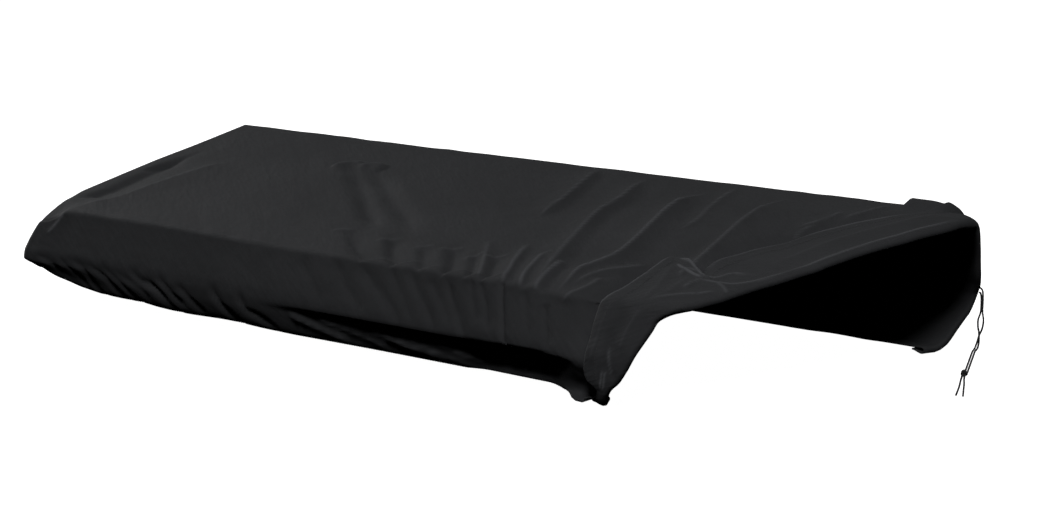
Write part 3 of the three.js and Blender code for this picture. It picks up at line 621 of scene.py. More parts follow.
def base_point(x, s):
    """The smooth cover, before folds: front wall, top or back wall by s."""
    on_top = np.clip(s, 0, TOP_DEPTH)
    top = top_point(x, on_top)
    from_front = softened(on_top)
    from_back = softened(TOP_DEPTH - on_top)
    from_left = softened(x - left_x(top[..., 1]))
    rounded = top.copy()
    rounded[..., 0] += SINK_IN * from_left
    rounded[..., 1] += SINK_IN * (from_front - from_back)
    rounded[..., 2] -= SINK_DOWN * np.maximum(np.maximum(from_front, from_back), from_left)
    swing = corner_angle(x - left_x(front_y(x)))
    front = wall_point(top, -np.sin(swing), -np.cos(swing), np.maximum(-s, 0), rise_front(x))
    swing = corner_angle(x - left_x(BACK_Y))
    back = wall_point(top, -np.sin(swing), np.cos(swing), np.maximum(s - TOP_DEPTH, 0), 0)
    side = s[..., None]
    return np.where(side < 0, front, np.where(side > TOP_DEPTH, back, rounded))


def left_point(s, down):
    """The left end wall, below the left-top edge at row s."""
    edge = top_point(left_x(FRONT_Y + s * (BACK_Y - FRONT_Y) / TOP_DEPTH), s)
    swing = corner_angle(TOP_DEPTH - s) - corner_angle(s)
    return wall_point(edge, -np.cos(swing), np.sin(swing), down, rise_left(s))


def spline(places, steps):
    """Points along a curve that passes through every place."""
    places = np.array(places, float)
    ends = np.concatenate([places[:1], places, places[-1:]])
    at = np.linspace(0, len(places) - 1, steps + 1)
    i = np.minimum(at.astype(int), len(places) - 2)
    t = (at - i)[:, None]
    a, b, c, d = ends[i], ends[i + 1], ends[i + 2], ends[i + 3]
    v0, v1 = (c - a) / 2, (d - b) / 2
    return (2 * b - 2 * c + v0 + v1) * t**3 + (-3 * b + 3 * c - 2 * v0 - v1) * t**2 + v0 * t + b


def fold_lift(fold, x, s):
    """How far one fold lifts the cloth: a broad swell, and a narrow crest along its path.

    It also gives the painted highlight line along a ridge's crest, which stands in for the light on it.
    """
    line = spline(fold.path, FOLD_STEPS)
    best = np.full(x.shape, np.inf)
    side = np.zeros(x.shape)
    progress = np.zeros(x.shape)
    for i in range(FOLD_STEPS):
        along = line[i + 1] - line[i]
        dx, ds = x - line[i, 0], s - line[i, 1]
        t = np.clip((dx * along[0] + ds * along[1]) / (along @ along), 0, 1)
        distance = np.hypot(dx - along[0] * t, ds - along[1] * t)
        nearer = distance < best
        best = np.where(nearer, distance, best)
        side = np.where(nearer, along[0] * ds - along[1] * dx, side)
        progress = np.where(nearer, (i + t) / FOLD_STEPS, progress)
    spread = np.where(side > 0, fold.left, fold.right)
    fade = smooth(progress, 0, FOLD_FADE) * smooth(1 - progress, 0, FOLD_FADE)
    swell = np.exp(-((best / spread) ** 2))
    point = np.exp(-CREST_FALL * best / spread)
    # Painted highlight: a pale line along a ridge's crest, standing in for the light on it
    line = fade * fold.crest * np.exp(-((best / CREST_LINE) ** 2)) * (fold.height > 0)
    return fold.height * fade * mix(swell, point, fold.crest), line


def lift_of(folds, x, s):
    """The lift of every fold together, and the painted highlight at each place on a ridge's crest.

    Each fold is worked out only near its path."""
    lift = np.zeros(x.shape)
    stretch = np.zeros(x.shape)
    for fold in folds:
        reach = FOLD_REACH * max(fold.left, fold.right)
        xs, ss = np.array(fold.path).T
        near = (x > xs.min() - reach) & (x < xs.max() + reach)
        near &= (s > ss.min() - reach) & (s < ss.max() + reach)
        fold_up, line = fold_lift(fold, x[near], s[near])
        lift[near] += fold_up
        stretch[near] = np.maximum(stretch[near], line)
    return lift, stretch


def noise(u, v):
    """Smooth noise from -1 to 1, with features about one unit wide."""
    i, j = np.floor(u).astype(int), np.floor(v).astype(int)
    share_u, share_v = smooth(u - i, 0, 1), smooth(v - j, 0, 1)
    low, high = (
        mix(NOISE[i % NOISE_CELLS, k % NOISE_CELLS], NOISE[(i + 1) % NOISE_CELLS, k % NOISE_CELLS], share_u)
        for k in (j, j + 1)
    )
    return mix(low, high, share_v)


def ripple_lift(x, s):
    """How far the soft ripples lift the cloth."""
    ahead = x * np.cos(RIPPLE_SLANT) - s * np.sin(RIPPLE_SLANT)
    aside = x * np.sin(RIPPLE_SLANT) + s * np.cos(RIPPLE_SLANT)
    lift = sum(height * noise(ahead / RIPPLE_LENGTH / width, aside / width) for width, height in RIPPLES)
    patches = RIPPLE_STRENGTH * (1 + noise(x / RIPPLE_PATCH, s / RIPPLE_PATCH))
    kept = smooth(x - left_x(FRONT_Y + s), 0, RIPPLE_EDGE) * smooth(s, *RIPPLE_HEM)
    beside_cord = smooth(s, *RIPPLE_BACK) * smooth(x, *RIPPLE_CORD)
    return lift * patches * kept * (1 - beside_cord)


# How far to each side the directions along and across the cloth are taken
PROBE = 0.6


def unit(vectors):
    return vectors / np.linalg.norm(vectors, axis=-1, keepdims=True)


def cloth_frame(x, s, strength):
    """Position, outward normal and along-the-row direction of the folded cloth, the painted highlight on
    its crests, and its lift.
    """
    low, high = -WALL_DROP, TOP_DEPTH + WALL_DROP
    ahead = unit(base_point(x + PROBE, s) - base_point(x - PROBE, s))
    across = base_point(x, np.minimum(s + PROBE, high)) - base_point(x, np.maximum(s - PROBE, low))
    normal = unit(np.cross(ahead, across))
    lift, stretch = lift_of(FOLDS, x, s)
    lift = strength * (lift + ripple_lift(x, s))
    return base_point(x, s) + normal * lift[..., None], normal, ahead, stretch, lift


def grouped(groups, key):
    """Evenly spaced values in each group of a table, and the last group's start."""
    starts = groups[key]
    counts = groups["rows"].astype(int)
    parts = [
        np.linspace(start, stop, count, endpoint=False)
        for start, stop, count in zip(starts[:-1], starts[1:], counts)
    ]
    return np.concatenate([*parts, starts[-1:]])


def turned_points(s, share, strength):
    """Points of the turned-back cloth, from the roll at share 0 to its free edge at 1, with the normal of the
    cloth under it and the painted highlight on its own crests."""
    x = mix(turn_x(s), edge_x(s), share)
    across = mix(s, edge_s(s), share)
    under, normal, *_ = cloth_frame(x, across, strength)
    lift, stretch = lift_of(TURNED_FOLDS, x, across)
    lift = strength * lift + mix(2 * roll_radius(s), edge_lift(s), smooth(share, 0, 1))
    return under + normal * lift[..., None], normal, stretch


def lowest_near(lift, reach):
    """The lowest lift within so many columns of each place."""
    padded = np.pad(lift, ((0, 0), (reach, reach)), mode="edge")
    return np.lib.stride_tricks.sliding_window_view(padded, 2 * reach + 1, axis=1).min(-1)


class Sheet(NamedTuple):
    """The cloth's middle surface as corner points with quads, and what the finish needs at each point."""

    points: np.ndarray
    quads: np.ndarray
    flat: np.ndarray
    from_hem: np.ndarray
    stretch: np.ndarray
    slack: np.ndarray
    width: int
    rows: int
    left_rim: np.ndarray


def cover_sheet(strength):
    """The whole cover as one sheet: front wall, top, back wall and turned-back end, and the left end wall."""
    downs = grouped(WALL_ROW_GROUPS, "down")[1:]
    tops = grouped(TOP_ROW_GROUPS, "s")
    rows = np.concatenate([-downs[::-1], tops, TOP_DEPTH + downs])[:, None]
    start = left_x(np.where(rows < 0, LEFT_EDGE["y"][0], FRONT_Y + np.minimum(rows, TOP_DEPTH)))
    end = turn_x(rows)
    middle = grouped(MIDDLE_GROUPS, "x")[:-1]
    left = mix(start, middle[0], np.arange(LEFT_COLUMNS) / LEFT_COLUMNS)
    right = mix(MIDDLE_GROUPS["x"][-1], end, np.linspace(0, 1, RIGHT_COLUMNS + 1))
    x = np.concatenate([left, np.broadcast_to(middle, (len(rows), MIDDLE_COLUMNS)), right], 1)
    s = np.broadcast_to(rows, x.shape)
    main, normal, ahead, stretch, lift = cloth_frame(x, s, strength)
    angle = np.pi * np.arange(1, ROLL_COLUMNS + 1) / ROLL_COLUMNS
    radius = roll_radius(rows)
    forward = (radius * np.sin(angle))[..., None] * ahead[:, -1:]
    upward = (radius * (1 - np.cos(angle)))[..., None] * normal[:, -1:]
    roll = main[:, -1:] + forward + upward
    share = np.arange(1, TURNED_COLUMNS + 1) / TURNED_COLUMNS
    turned_rows = np.broadcast_to(rows, (len(rows), TURNED_COLUMNS))
    turned, _, turned_highlight = turned_points(turned_rows, share[None, :], strength)
    grid = np.concatenate([main, roll, turned], 1)
    stretch = np.concatenate([stretch, np.zeros(roll.shape[:2]), turned_highlight], 1)
    slack = np.zeros(stretch.shape)
    slack[:, : x.shape[1]] = lift - lowest_near(lift, INNER_STEP)
    length = np.hypot(end - edge_x(rows), rows - edge_s(rows))
    flat_x = np.concatenate([x, end + radius * angle, end + np.pi * radius + length * share], 1)
    flat_s = np.broadcast_to(rows, flat_x.shape)
    from_turned = np.where(flat_x > end, end + np.pi * radius + length - flat_x, np.inf)
    from_hem = np.minimum(np.minimum(flat_s + WALL_DROP, TOP_DEPTH + WALL_DROP - flat_s), from_turned)
    height, width = grid.shape[:2]
    corner = (np.arange(height - 1)[:, None] * width + np.arange(width - 1)).ravel()
    quads = [np.stack([corner, corner + 1, corner + width + 1, corner + width], 1)]

    inner_tops, depth = np.meshgrid(tops[1:-1], downs, indexing="ij")
    wall = left_point(inner_tops, depth)
    first, last = len(downs), len(downs) + len(tops) - 1
    place = np.empty((len(tops), len(downs) + 1), int)
    place[:, 0] = np.arange(first, last + 1) * width
    place[0] = np.arange(first, -1, -1) * width
    place[-1] = np.arange(last, height) * width
    place[1:-1, 1:] = height * width + np.arange(wall.shape[0] * wall.shape[1]).reshape(wall.shape[:2])
    sides = [place[:-1, :-1], place[1:, :-1], place[1:, 1:], place[:-1, 1:]]
    quads.append(np.stack([side.ravel() for side in sides], 1))
    flat = np.concatenate([
        np.stack([flat_x, flat_s], -1).reshape(-1, 2),
        np.stack([LEFT_EDGE["x"].min() - depth, inner_tops], -1).reshape(-1, 2),
    ])
    return Sheet(
        points=np.concatenate([grid.reshape(-1, 3), wall.reshape(-1, 3)]),
        quads=np.concatenate(quads),
        flat=flat,
        from_hem=np.concatenate([from_hem.ravel(), (WALL_DROP - depth).ravel()]),
        stretch=np.concatenate([stretch.ravel(), np.zeros(depth.size)]),
        slack=np.concatenate([slack.ravel(), np.zeros(depth.size)]),
        width=width,
        rows=height,
        left_rim=place[:, -1],
    )


def point_normals(points, quads):
    """The normal at each point, from the quads round it."""
    a, b, c, d = (points[quads[:, i]] for i in range(4))
    face = np.cross(c - a, d - b)
    normals = np.zeros_like(points)
    for i in range(4):
        np.add.at(normals, quads[:, i], face)
    return unit(normals)


# How much of the hem's extra thickness is on each side of the cloth, and how near its line it comes in
OUTER_HEM = 0.25
INNER_HEM = 0.75
HEM_STEP = 1.2


def closed_cloth(sheet, thickness, hem_width, hem_rise):
    """The sheet made solid.

    Its inner side has fewer columns where the cloth isn't turned back, and keeps below the folds between
    them."""
    normals = point_normals(sheet.points, sheet.quads)
    hem = smooth(sheet.from_hem, hem_width + HEM_STEP, hem_width - HEM_STEP)
    outer = sheet.points + normals * (thickness / 2 + OUTER_HEM * hem_rise * hem)[:, None]
    inner = sheet.points - normals * (thickness / 2 + INNER_HEM * hem_rise * hem + sheet.slack)[:, None]
    flat_columns = LEFT_COLUMNS + MIDDLE_COLUMNS + RIGHT_COLUMNS
    kept = np.concatenate([np.arange(0, flat_columns, INNER_STEP), np.arange(flat_columns, sheet.width)])
    grid_size = sheet.width * sheet.rows
    ids = np.arange(grid_size).reshape(sheet.rows, sheet.width)
    left_ids = np.arange(grid_size, len(outer))
    inner_used = np.concatenate([ids[:, kept].ravel(), left_ids])
    inner_of = np.full(len(outer), -1)
    inner_of[inner_used] = len(outer) + np.arange(len(inner_used))
    faces = sheet.quads.tolist()
    low = ids[:, kept]
    backs = np.stack([low[1:, :-1], low[1:, 1:], low[:-1, 1:], low[:-1, :-1]], -1).reshape(-1, 4)
    left_quads = sheet.quads[(sheet.rows - 1) * (sheet.width - 1):]
    faces += inner_of[backs].tolist()
    faces += inner_of[left_quads[:, ::-1]].tolist()

    def rim(line):
        """Closes the edge along a line of points; the line runs with the cloth on its left."""
        held = [i for i, point in enumerate(line) if inner_of[point] >= 0]
        for i, j in zip(held[:-1], held[1:]):
            top = [int(point) for point in line[i:j + 1]]
            faces.append(top[::-1] + [int(inner_of[top[0]]), int(inner_of[top[-1]])])

    rim(ids[0])
    rim(ids[:, -1])
    rim(ids[-1, ::-1])
    rim(sheet.left_rim[::-1])
    used = np.concatenate([np.arange(len(outer)), inner_used])
    return np.concatenate([outer, inner[inner_used]]), faces, sheet.flat[used], sheet.stretch[used]


# Shared makers


def add_object(name, data):
    made = bpy.data.objects.new(name, data)
    bpy.context.scene.collection.objects.link(made)
    return made


def mesh_piece(name, points, faces, material, uv=None):
    """A smooth-shaded mesh object from points in millimetres, with a UV map where one is given."""
    mesh = bpy.data.meshes.new(name)
    mesh.from_pydata((np.asarray(points) * MM).tolist(), [], faces)
    if uv is not None:
        corners = np.empty(len(mesh.loops), np.int32)
        mesh.loops.foreach_get("vertex_index", corners)
        layer = mesh.uv_layers.new(name="cloth")
        layer.data.foreach_set("uv", np.asarray(uv, np.float32)[corners].ravel())
    mesh.shade_smooth()
    mesh.materials.append(material)
    mesh.validate()
    return add_object(name, mesh)


class Value:
    """One number over a surface: arithmetic on it adds Math nodes."""

    def __init__(self, finish, socket):
        self.finish = finish
        self.socket = socket

    def math(self, operation, first, second=0.0):
        return self.finish.add("ShaderNodeMath", {"operation": operation}, {0: first, 1: second})

    def __add__(self, other):
        return self.math("ADD", self, other)

    def __radd__(self, other):
        return self.math("ADD", other, self)

    def __sub__(self, other):
        return self.math("SUBTRACT", self, other)

    def __rsub__(self, other):
        return self.math("SUBTRACT", other, self)

    def __mul__(self, other):
        return self.math("MULTIPLY", self, other)

    def __rmul__(self, other):
        return self.math("MULTIPLY", other, self)

    def sine(self):
        return self.math("SINE", self)


class Finish:
    """A material's nodes, added one by one."""

    def __init__(self, name, constants):
        self.material = bpy.data.materials.new(name)
        self.material.use_nodes = True
        self.nodes = self.material.node_tree
        self.shader = self.nodes.nodes["Principled BSDF"]
        for socket, value in constants.items():
            self.shader.inputs[socket].default_value = value

    def add(self, kind, settings=None, inputs=None, output=0):
        node = self.nodes.nodes.new(kind)
        for name, value in (settings or {}).items():
            if name == "stops":
                for element, (position, colour) in zip(node.color_ramp.elements, value):
                    element.position = position
                    element.color = colour
            else:
                setattr(node, name, value)
        for key, value in (inputs or {}).items():
            self.feed(node.inputs[key], value)
        return Value(self, node.outputs[output])

    def feed(self, socket, value):
        if isinstance(value, Value):
            self.nodes.links.new(value.socket, socket)
        else:
            socket.default_value = value

    def shade(self, **inputs):
        for name, value in inputs.items():
            self.feed(self.shader.inputs[name.replace("_", " ").title()], value)


# The flat sheet's corner and size, for its UV map
FLAT_FROM = (-700, -WALL_DROP)
FLAT_SIZE = (1450, TOP_DEPTH + 2 * WALL_DROP)
# Courses for each rib of the knit, how far they wave with the ribs, and the share of each in a stitch
COURSE_RATE = 0.8
COURSE_WAVE = 0.9
RIB_SHARE = 0.6
COURSE_SHARE = 0.4
# What clouds, slubs and grain add to the shade, and the shade at two places of their sum
CLOUD_SHADE = 0.55
SLUB_SHADE = 0.3
GRAIN_SHADE = 0.15
KNIT_SHADES = ((0.32, 0.82), (0.68, 1.18))
# Painted highlight: along each ridge's crest the cloth is painted paler, standing in for the light on it
CREST_HIGHLIGHT_GAIN = 2.1
CREST_HIGHLIGHT_SHADE = 2.6
# The finest ripples: their slant, the scale along it, and how unevenly the clouds spread them
FINE_SLANT = (0.75, 0.66)
FINE_LENGTH = 0.3
FINE_GAIN = 2.4
FINE_FROM = 0.4
# What stitches, grain and slubs add to the relief
STITCH_RELIEF = 0.5
GRAIN_RELIEF = 0.7
SLUB_RELIEF = 0.6
KNIT_ROUGHNESS = 0.74
SLUB_ROUGHNESS = 0.16
# The thread's shade at two places of its fibres and tufts, and what each adds
CORD_SHADES = ((0.3, 0.7), (0.7, 1.4))
FIBRE_SHADE = 0.6
TUFT_SHADE = 0.4
TUFT_ROUGHNESS = 0.15


def shade_of(colour, factor):
    return (*(channel * factor for channel in colour), 1)


def shades(colour, stops):
    """A ramp's stops in shades of one colour."""
    return {"stops": [(place, shade_of(colour, factor)) for place, factor in stops]}


def knit_finish(settings):
    """Charcoal stretch knit: fine ribs and courses, uneven shade, a little fluff and a soft sheen.

    Its crests have a painted highlight that stands in for the light on them.
    """
    finish = Finish("stretch_knit", {
        "Specular IOR Level": 0.2,
        "Sheen Weight": 0.04,
        "Sheen Roughness": 0.4,
        "Sheen Tint": (0.8, 0.82, 0.86, 1),
    })
    uv = finish.add("ShaderNodeUVMap", {"uv_map": "cloth"})
    size = (FLAT_SIZE[0] * MM, FLAT_SIZE[1] * MM, 0)
    scaled = finish.add("ShaderNodeVectorMath", {"operation": "MULTIPLY"}, {0: uv, 1: size})
    along = finish.add("ShaderNodeSeparateXYZ", {}, {0: scaled}, 0)
    across = finish.add("ShaderNodeSeparateXYZ", {}, {0: scaled}, 1)
    turn = math.tau / settings.knit_pitch
    ribs = (along * turn).sine()
    courses = (across * (turn * COURSE_RATE) + ribs * COURSE_WAVE).sine()
    stitch = ribs * RIB_SHARE + courses * COURSE_SHARE
    place = finish.add("ShaderNodeTexCoord", {}, {}, 3)
    cloud = finish.add(
        "ShaderNodeTexNoise", {}, {"Vector": place, "Scale": 7.0, "Detail": 4.0, "Roughness": 0.6}
    )
    grain = finish.add("ShaderNodeTexNoise", {}, {"Vector": place, "Scale": 420.0, "Detail": 2.0})
    slub = finish.add(
        "ShaderNodeTexNoise", {}, {"Vector": scaled, "Scale": 90.0, "Detail": 3.0, "Roughness": 0.65}
    )
    tone_and_highlight = cloud * CLOUD_SHADE + slub * SLUB_SHADE + grain * GRAIN_SHADE
    plain = finish.add("ShaderNodeValToRGB", shades(settings.colour, KNIT_SHADES), {0: tone_and_highlight})
    # Painted highlight: the colour is mixed paler along the crests, standing in for the light on them
    stretch = finish.add("ShaderNodeAttribute", {"attribute_name": "stretch"}, {}, 2)
    colour = finish.add(
        "ShaderNodeMix",
        {"data_type": "RGBA"},
        {0: stretch * CREST_HIGHLIGHT_GAIN, 6: plain, 7: shade_of(settings.colour, CREST_HIGHLIGHT_SHADE)},
        2,
    )
    # The finest ripples run aslant, as the larger ones do
    ahead = along * FINE_SLANT[0] - across * FINE_SLANT[1]
    aside = along * FINE_SLANT[1] + across * FINE_SLANT[0]
    slant = finish.add("ShaderNodeCombineXYZ", {}, {0: ahead * FINE_LENGTH, 1: aside})
    ripple = finish.add("ShaderNodeTexNoise", {}, {"Vector": slant, "Scale": 120.0, "Detail": 1.0})
    uneven = ripple * (cloud * FINE_GAIN - FINE_FROM)
    rippled = finish.add("ShaderNodeBump", {}, {"Height": uneven, "Strength": 1.0, "Distance": 0.001})
    relief = stitch * STITCH_RELIEF + grain * GRAIN_RELIEF + slub * SLUB_RELIEF
    bump = finish.add(
        "ShaderNodeBump", {}, {"Height": relief, "Strength": 0.35, "Distance": 0.00025, "Normal": rippled}
    )
    finish.shade(base_color=colour, roughness=KNIT_ROUGHNESS + slub * SLUB_ROUGHNESS, normal=bump)
    return finish.material


def cord_finish(name, colour, roughness):
    """Matt thread, plaited or sewn."""
    finish = Finish(name, {"Sheen Weight": 0.1, "Sheen Roughness": 0.5, "Specular IOR Level": 0.3})
    place = finish.add("ShaderNodeTexCoord", {}, {}, 3)
    fibre = finish.add("ShaderNodeTexNoise", {}, {"Vector": place, "Scale": 2600.0, "Detail": 2.0})
    tuft = finish.add("ShaderNodeTexNoise", {}, {"Vector": place, "Scale": 160.0, "Detail": 2.0})
    tone_and_highlight = fibre * FIBRE_SHADE + tuft * TUFT_SHADE
    shade = finish.add("ShaderNodeValToRGB", shades(colour, CORD_SHADES), {0: tone_and_highlight})
    bump = finish.add("ShaderNodeBump", {}, {"Height": fibre, "Strength": 0.4, "Distance": 0.0001})
    finish.shade(base_color=shade, roughness=roughness + tuft * TUFT_ROUGHNESS, normal=bump)
    return finish.material


# Camera: the pinhole of the photograph, in its own frame of 1046 x 528
CAMERA_PLACE = (1677.574, -2057.708, 565.617)
CAMERA_YAW = 37.9584
CAMERA_PITCH = 13.4434
CAMERA_ROLL = -1.405
CAMERA_LENS = 78.898
CAMERA_SENSOR = 36.0
# Lights: place and aim in metres, the disk's size, and the setting that holds the power
LIGHTS = (
    ("key_light", (-2.5, 0.2, 1.0), (0.0, 0.0, 0.0), 0.7, "key_power"),
    ("back_light", (-0.6, 3.0, 2.0), (0.0, 0.0, 0.0), 1.2, "back_power"),
    ("front_light", (1.6, -2.2, 3.0), (0.0, -0.05, 0.0), 1.0, "front_power"),
)
# How high the sky reaches its full strength, from black at the horizon
SKY_FULL = 0.5


class MakeStage(bpy.types.Operator):
    """Makes the camera, the pale floor and the studio light"""

    bl_idname = "dustcover.make_stage"
    bl_label = "Stage"

    def execute(self, context):
        settings = context.scene.dust_cover_stage
        self.add_camera(context)
        self.add_floor(settings)
        self.add_sky(context, settings)
        for name, place, aim, size, power in LIGHTS:
            self.add_light(name, place, aim, size, getattr(settings, power))
        context.scene.view_settings.view_transform = "Standard"
        return {"FINISHED"}

    def add_camera(self, context):
        yaw, pitch, roll = (math.radians(angle) for angle in (CAMERA_YAW, CAMERA_PITCH, CAMERA_ROLL))
        ahead = Vector((-math.sin(yaw), math.cos(yaw), 0))
        forward = ahead * math.cos(pitch) - Vector((0, 0, math.sin(pitch)))
        level = Vector((math.cos(yaw), math.sin(yaw), 0))
        upright = level.cross(forward)
        right = math.cos(roll) * level + math.sin(roll) * upright
        up = math.cos(roll) * upright - math.sin(roll) * level
        turn = Matrix((right, up, -forward)).transposed().to_4x4()
        data = bpy.data.cameras.new("camera")
        data.lens = CAMERA_LENS
        data.sensor_width = CAMERA_SENSOR
        data.sensor_fit = "HORIZONTAL"
        camera = add_object("camera", data)
        camera.matrix_world = Matrix.Translation(Vector(CAMERA_PLACE) * MM) @ turn
        context.scene.camera = camera

    def add_floor(self, settings):
        half = settings.floor_size / 2 / MM
        corners = [(-half, -half, REST_Z), (half, -half, REST_Z), (half, half, REST_Z), (-half, half, REST_Z)]
        finish = Finish("pale_floor", {
            "Base Color": (0.9, 0.9, 0.9, 1),
            "Emission Color": (1, 1, 1, 1),
            "Emission Strength": 1.0,
        })
        floor = mesh_piece("floor", corners, [(0, 1, 2, 3)], finish.material)
        floor.visible_diffuse = False
        floor.visible_glossy = False
        floor.visible_shadow = False

    def add_sky(self, context, settings):
        world = bpy.data.worlds.new("studio_sky")
        context.scene.world = world
        world.use_nodes = True
        nodes = world.node_tree.nodes
        background = nodes["Background"]
        place = nodes.new("ShaderNodeTexCoord")
        height = nodes.new("ShaderNodeSeparateXYZ")
        ramp = nodes.new("ShaderNodeValToRGB")
        low, high = ramp.color_ramp.elements
        low.position = 0.0
        low.color = (0, 0, 0, 1)
        high.position = SKY_FULL
        high.color = (1, 1, 1, 1)
        links = world.node_tree.links
        links.new(place.outputs["Generated"], height.inputs[0])
        links.new(height.outputs[2], ramp.inputs[0])
        links.new(ramp.outputs[0], background.inputs[0])
        background.inputs[1].default_value = settings.sky

    def add_light(self, name, place, aim, size, power):
        data = bpy.data.lights.new(name, "AREA")
        data.shape = "DISK"
        data.size = size
        data.energy = power
        light = add_object(name, data)
        light.location = place
        light.rotation_euler = (Vector(aim) - Vector(place)).to_track_quat("-Z", "Y").to_euler()


TUBE_SIDES = 14
TUBE_STEP = 0.35
PLAIT_RELIEF = 0.11
ROUTE_STEPS = 40
CORD_ROUGHNESS = 0.72
NEARLY_UPRIGHT = 0.1


def carried_round(points):
    """Two directions across a path at each point, turning as little as possible along it."""
    tangents = unit(np.gradient(points, axis=0))
    side = np.cross(tangents[0], (0.0, 0.0, 1.0))
    if np.linalg.norm(side) < NEARLY_UPRIGHT:
        side = np.cross(tangents[0], (1.0, 0.0, 0.0))
    sides = []
    for tangent in tangents:
        side = side - tangent * (side @ tangent)
        side = side / np.linalg.norm(side)
        sides.append(side)
    sides = np.array(sides)
    return sides, np.cross(tangents, sides)


def plaited_tube(path, radius, pitch, strands, closed=False):
    """Points and faces of a round plaited cord along a dense path, in millimetres."""
    sides, ups = carried_round(path)
    travelled = np.concatenate([[0], np.cumsum(np.linalg.norm(np.diff(path, axis=0), axis=1))])
    angle = np.arange(TUBE_SIDES) * 2 * np.pi / TUBE_SIDES
    turn = 2 * np.pi * travelled[:, None] / pitch
    weave = np.maximum(np.cos(strands * angle + turn), np.cos(strands * angle - turn))
    ring_radius = radius * (1 - PLAIT_RELIEF * (1 - weave))
    ring = sides[:, None] * np.cos(angle)[None, :, None] + ups[:, None] * np.sin(angle)[None, :, None]
    points = (path[:, None] + ring * ring_radius[..., None]).reshape(-1, 3)
    count = len(path)
    faces = []
    for i in range(count if closed else count - 1):
        for k in range(TUBE_SIDES):
            n = (k + 1) % TUBE_SIDES
            j = (i + 1) % count
            faces.append((i * TUBE_SIDES + k, i * TUBE_SIDES + n, j * TUBE_SIDES + n, j * TUBE_SIDES + k))
    if not closed:
        faces.append(tuple(range(TUBE_SIDES))[::-1])
        faces.append(tuple(range((count - 1) * TUBE_SIDES, count * TUBE_SIDES)))
    return points, faces


def cord_path(route):
    """A cord's route as closely spaced points, and its length, in millimetres."""
    rough = spline(route, ROUTE_STEPS * len(route))
    travelled = np.concatenate([[0], np.cumsum(np.linalg.norm(np.diff(rough, axis=0), axis=1))])
    length = travelled[-1]
    at = np.linspace(0, length, int(length / TUBE_STEP) + 1)
    return np.stack([np.interp(at, travelled, rough[:, i]) for i in range(3)], 1), length


class MakeDrawcord(bpy.types.Operator):
    """Makes the drawcord's two strands, its knot and its two free tails"""

    bl_idname = "dustcover.make_drawcord"
    bl_label = "Drawcord"

    def execute(self, context):
        settings = context.scene.dust_cover_drawcord
        material = cord_finish("braided_cord", settings.colour, CORD_ROUGHNESS)
        knot = self.add_knot(settings, material)
        for name, kind, far_end, goes_with in (
            ("outer", "strand", "knot", [knot]),
            ("inner", "strand", "knot", [knot]),
            ("left", "tail", "bare", []),
            ("right", "tail", "bare", []),
        ):
            path, length = cord_path(CORD_ROUTES[name])
            points, faces = plaited_tube(
                path, settings.diameter / 2 / MM, settings.plait_pitch / MM, settings.plait_strands
            )
            cord = mesh_piece(f"drawcord_{kind}_{name}", points, faces, material)
            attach(cord, "root")
            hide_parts(f"cord_{kind}_{name}")
        return {"FINISHED"}

    def add_knot(self, settings, material):
        """A cord's loop through itself, drawn out along the cord's way."""
        turn = np.linspace(0, KNOT_TURNS * math.tau, KNOT_STEPS, endpoint=False)
        wave = turn * KNOT_WAVES / KNOT_TURNS
        swing = KNOT_RING * (1 + np.cos(wave) / 2)
        rise = KNOT_RING * KNOT_STRETCH * np.sin(wave) / 2
        loop = np.stack([swing * np.cos(turn), swing * np.sin(turn), rise], 1)
        upright = Vector((0, 0, 1)).rotation_difference(Vector(KNOT_AXIS))
        loop = loop @ np.array(upright.to_matrix()).T + np.array(KNOT_CENTRE)
        points, faces = plaited_tube(
            loop, settings.diameter / 2 / MM, settings.plait_pitch / MM, settings.plait_strands, closed=True
        )
        knot = mesh_piece("drawcord_knot", points, faces, material)
        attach(knot, "root")
        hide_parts("cord_knot")
        return knot


STITCH_SIDES = 6
STITCH_RINGS = 5
THREAD_ROUGHNESS = 0.6
# The hem's lines: distance between their points, and how far from the cloth's corners they end
LINE_STEP = 2.0
LINE_END_GAP = 9.0


def hem_lines(inset, on_outside, on_inside, strength):
    """Lines beside the free edges, in millimetres: along the front, back and left hems, and on the
    turned-back end, where the cloth's inner side shows."""
    hem = WALL_DROP - inset
    lines = []
    for s in (-hem, TOP_DEPTH + hem):
        x = np.arange(left_x(FRONT_Y) + LINE_END_GAP, turn_x(s) - LINE_END_GAP, LINE_STEP)
        point, normal, *_ = cloth_frame(x, np.full(x.shape, s), strength)
        lines.append(point + normal * on_outside)
    s = np.arange(LINE_END_GAP, TOP_DEPTH - LINE_END_GAP, LINE_STEP)
    point = left_point(s, np.full(s.shape, hem))
    below = left_point(s, np.full(s.shape, hem + PROBE)) - left_point(s, np.full(s.shape, hem - PROBE))
    lines.append(point + unit(np.cross(np.gradient(point, axis=0), below)) * on_outside)
    s = np.arange(-WALL_DROP, TOP_DEPTH + WALL_DROP, LINE_STEP)
    length = np.hypot(turn_x(s) - edge_x(s), s - edge_s(s))
    s, length = s[length > 2 * inset], length[length > 2 * inset]
    point, normal, _ = turned_points(s, 1 - inset / length, strength)
    lines.append(point + normal * on_inside)
    return lines


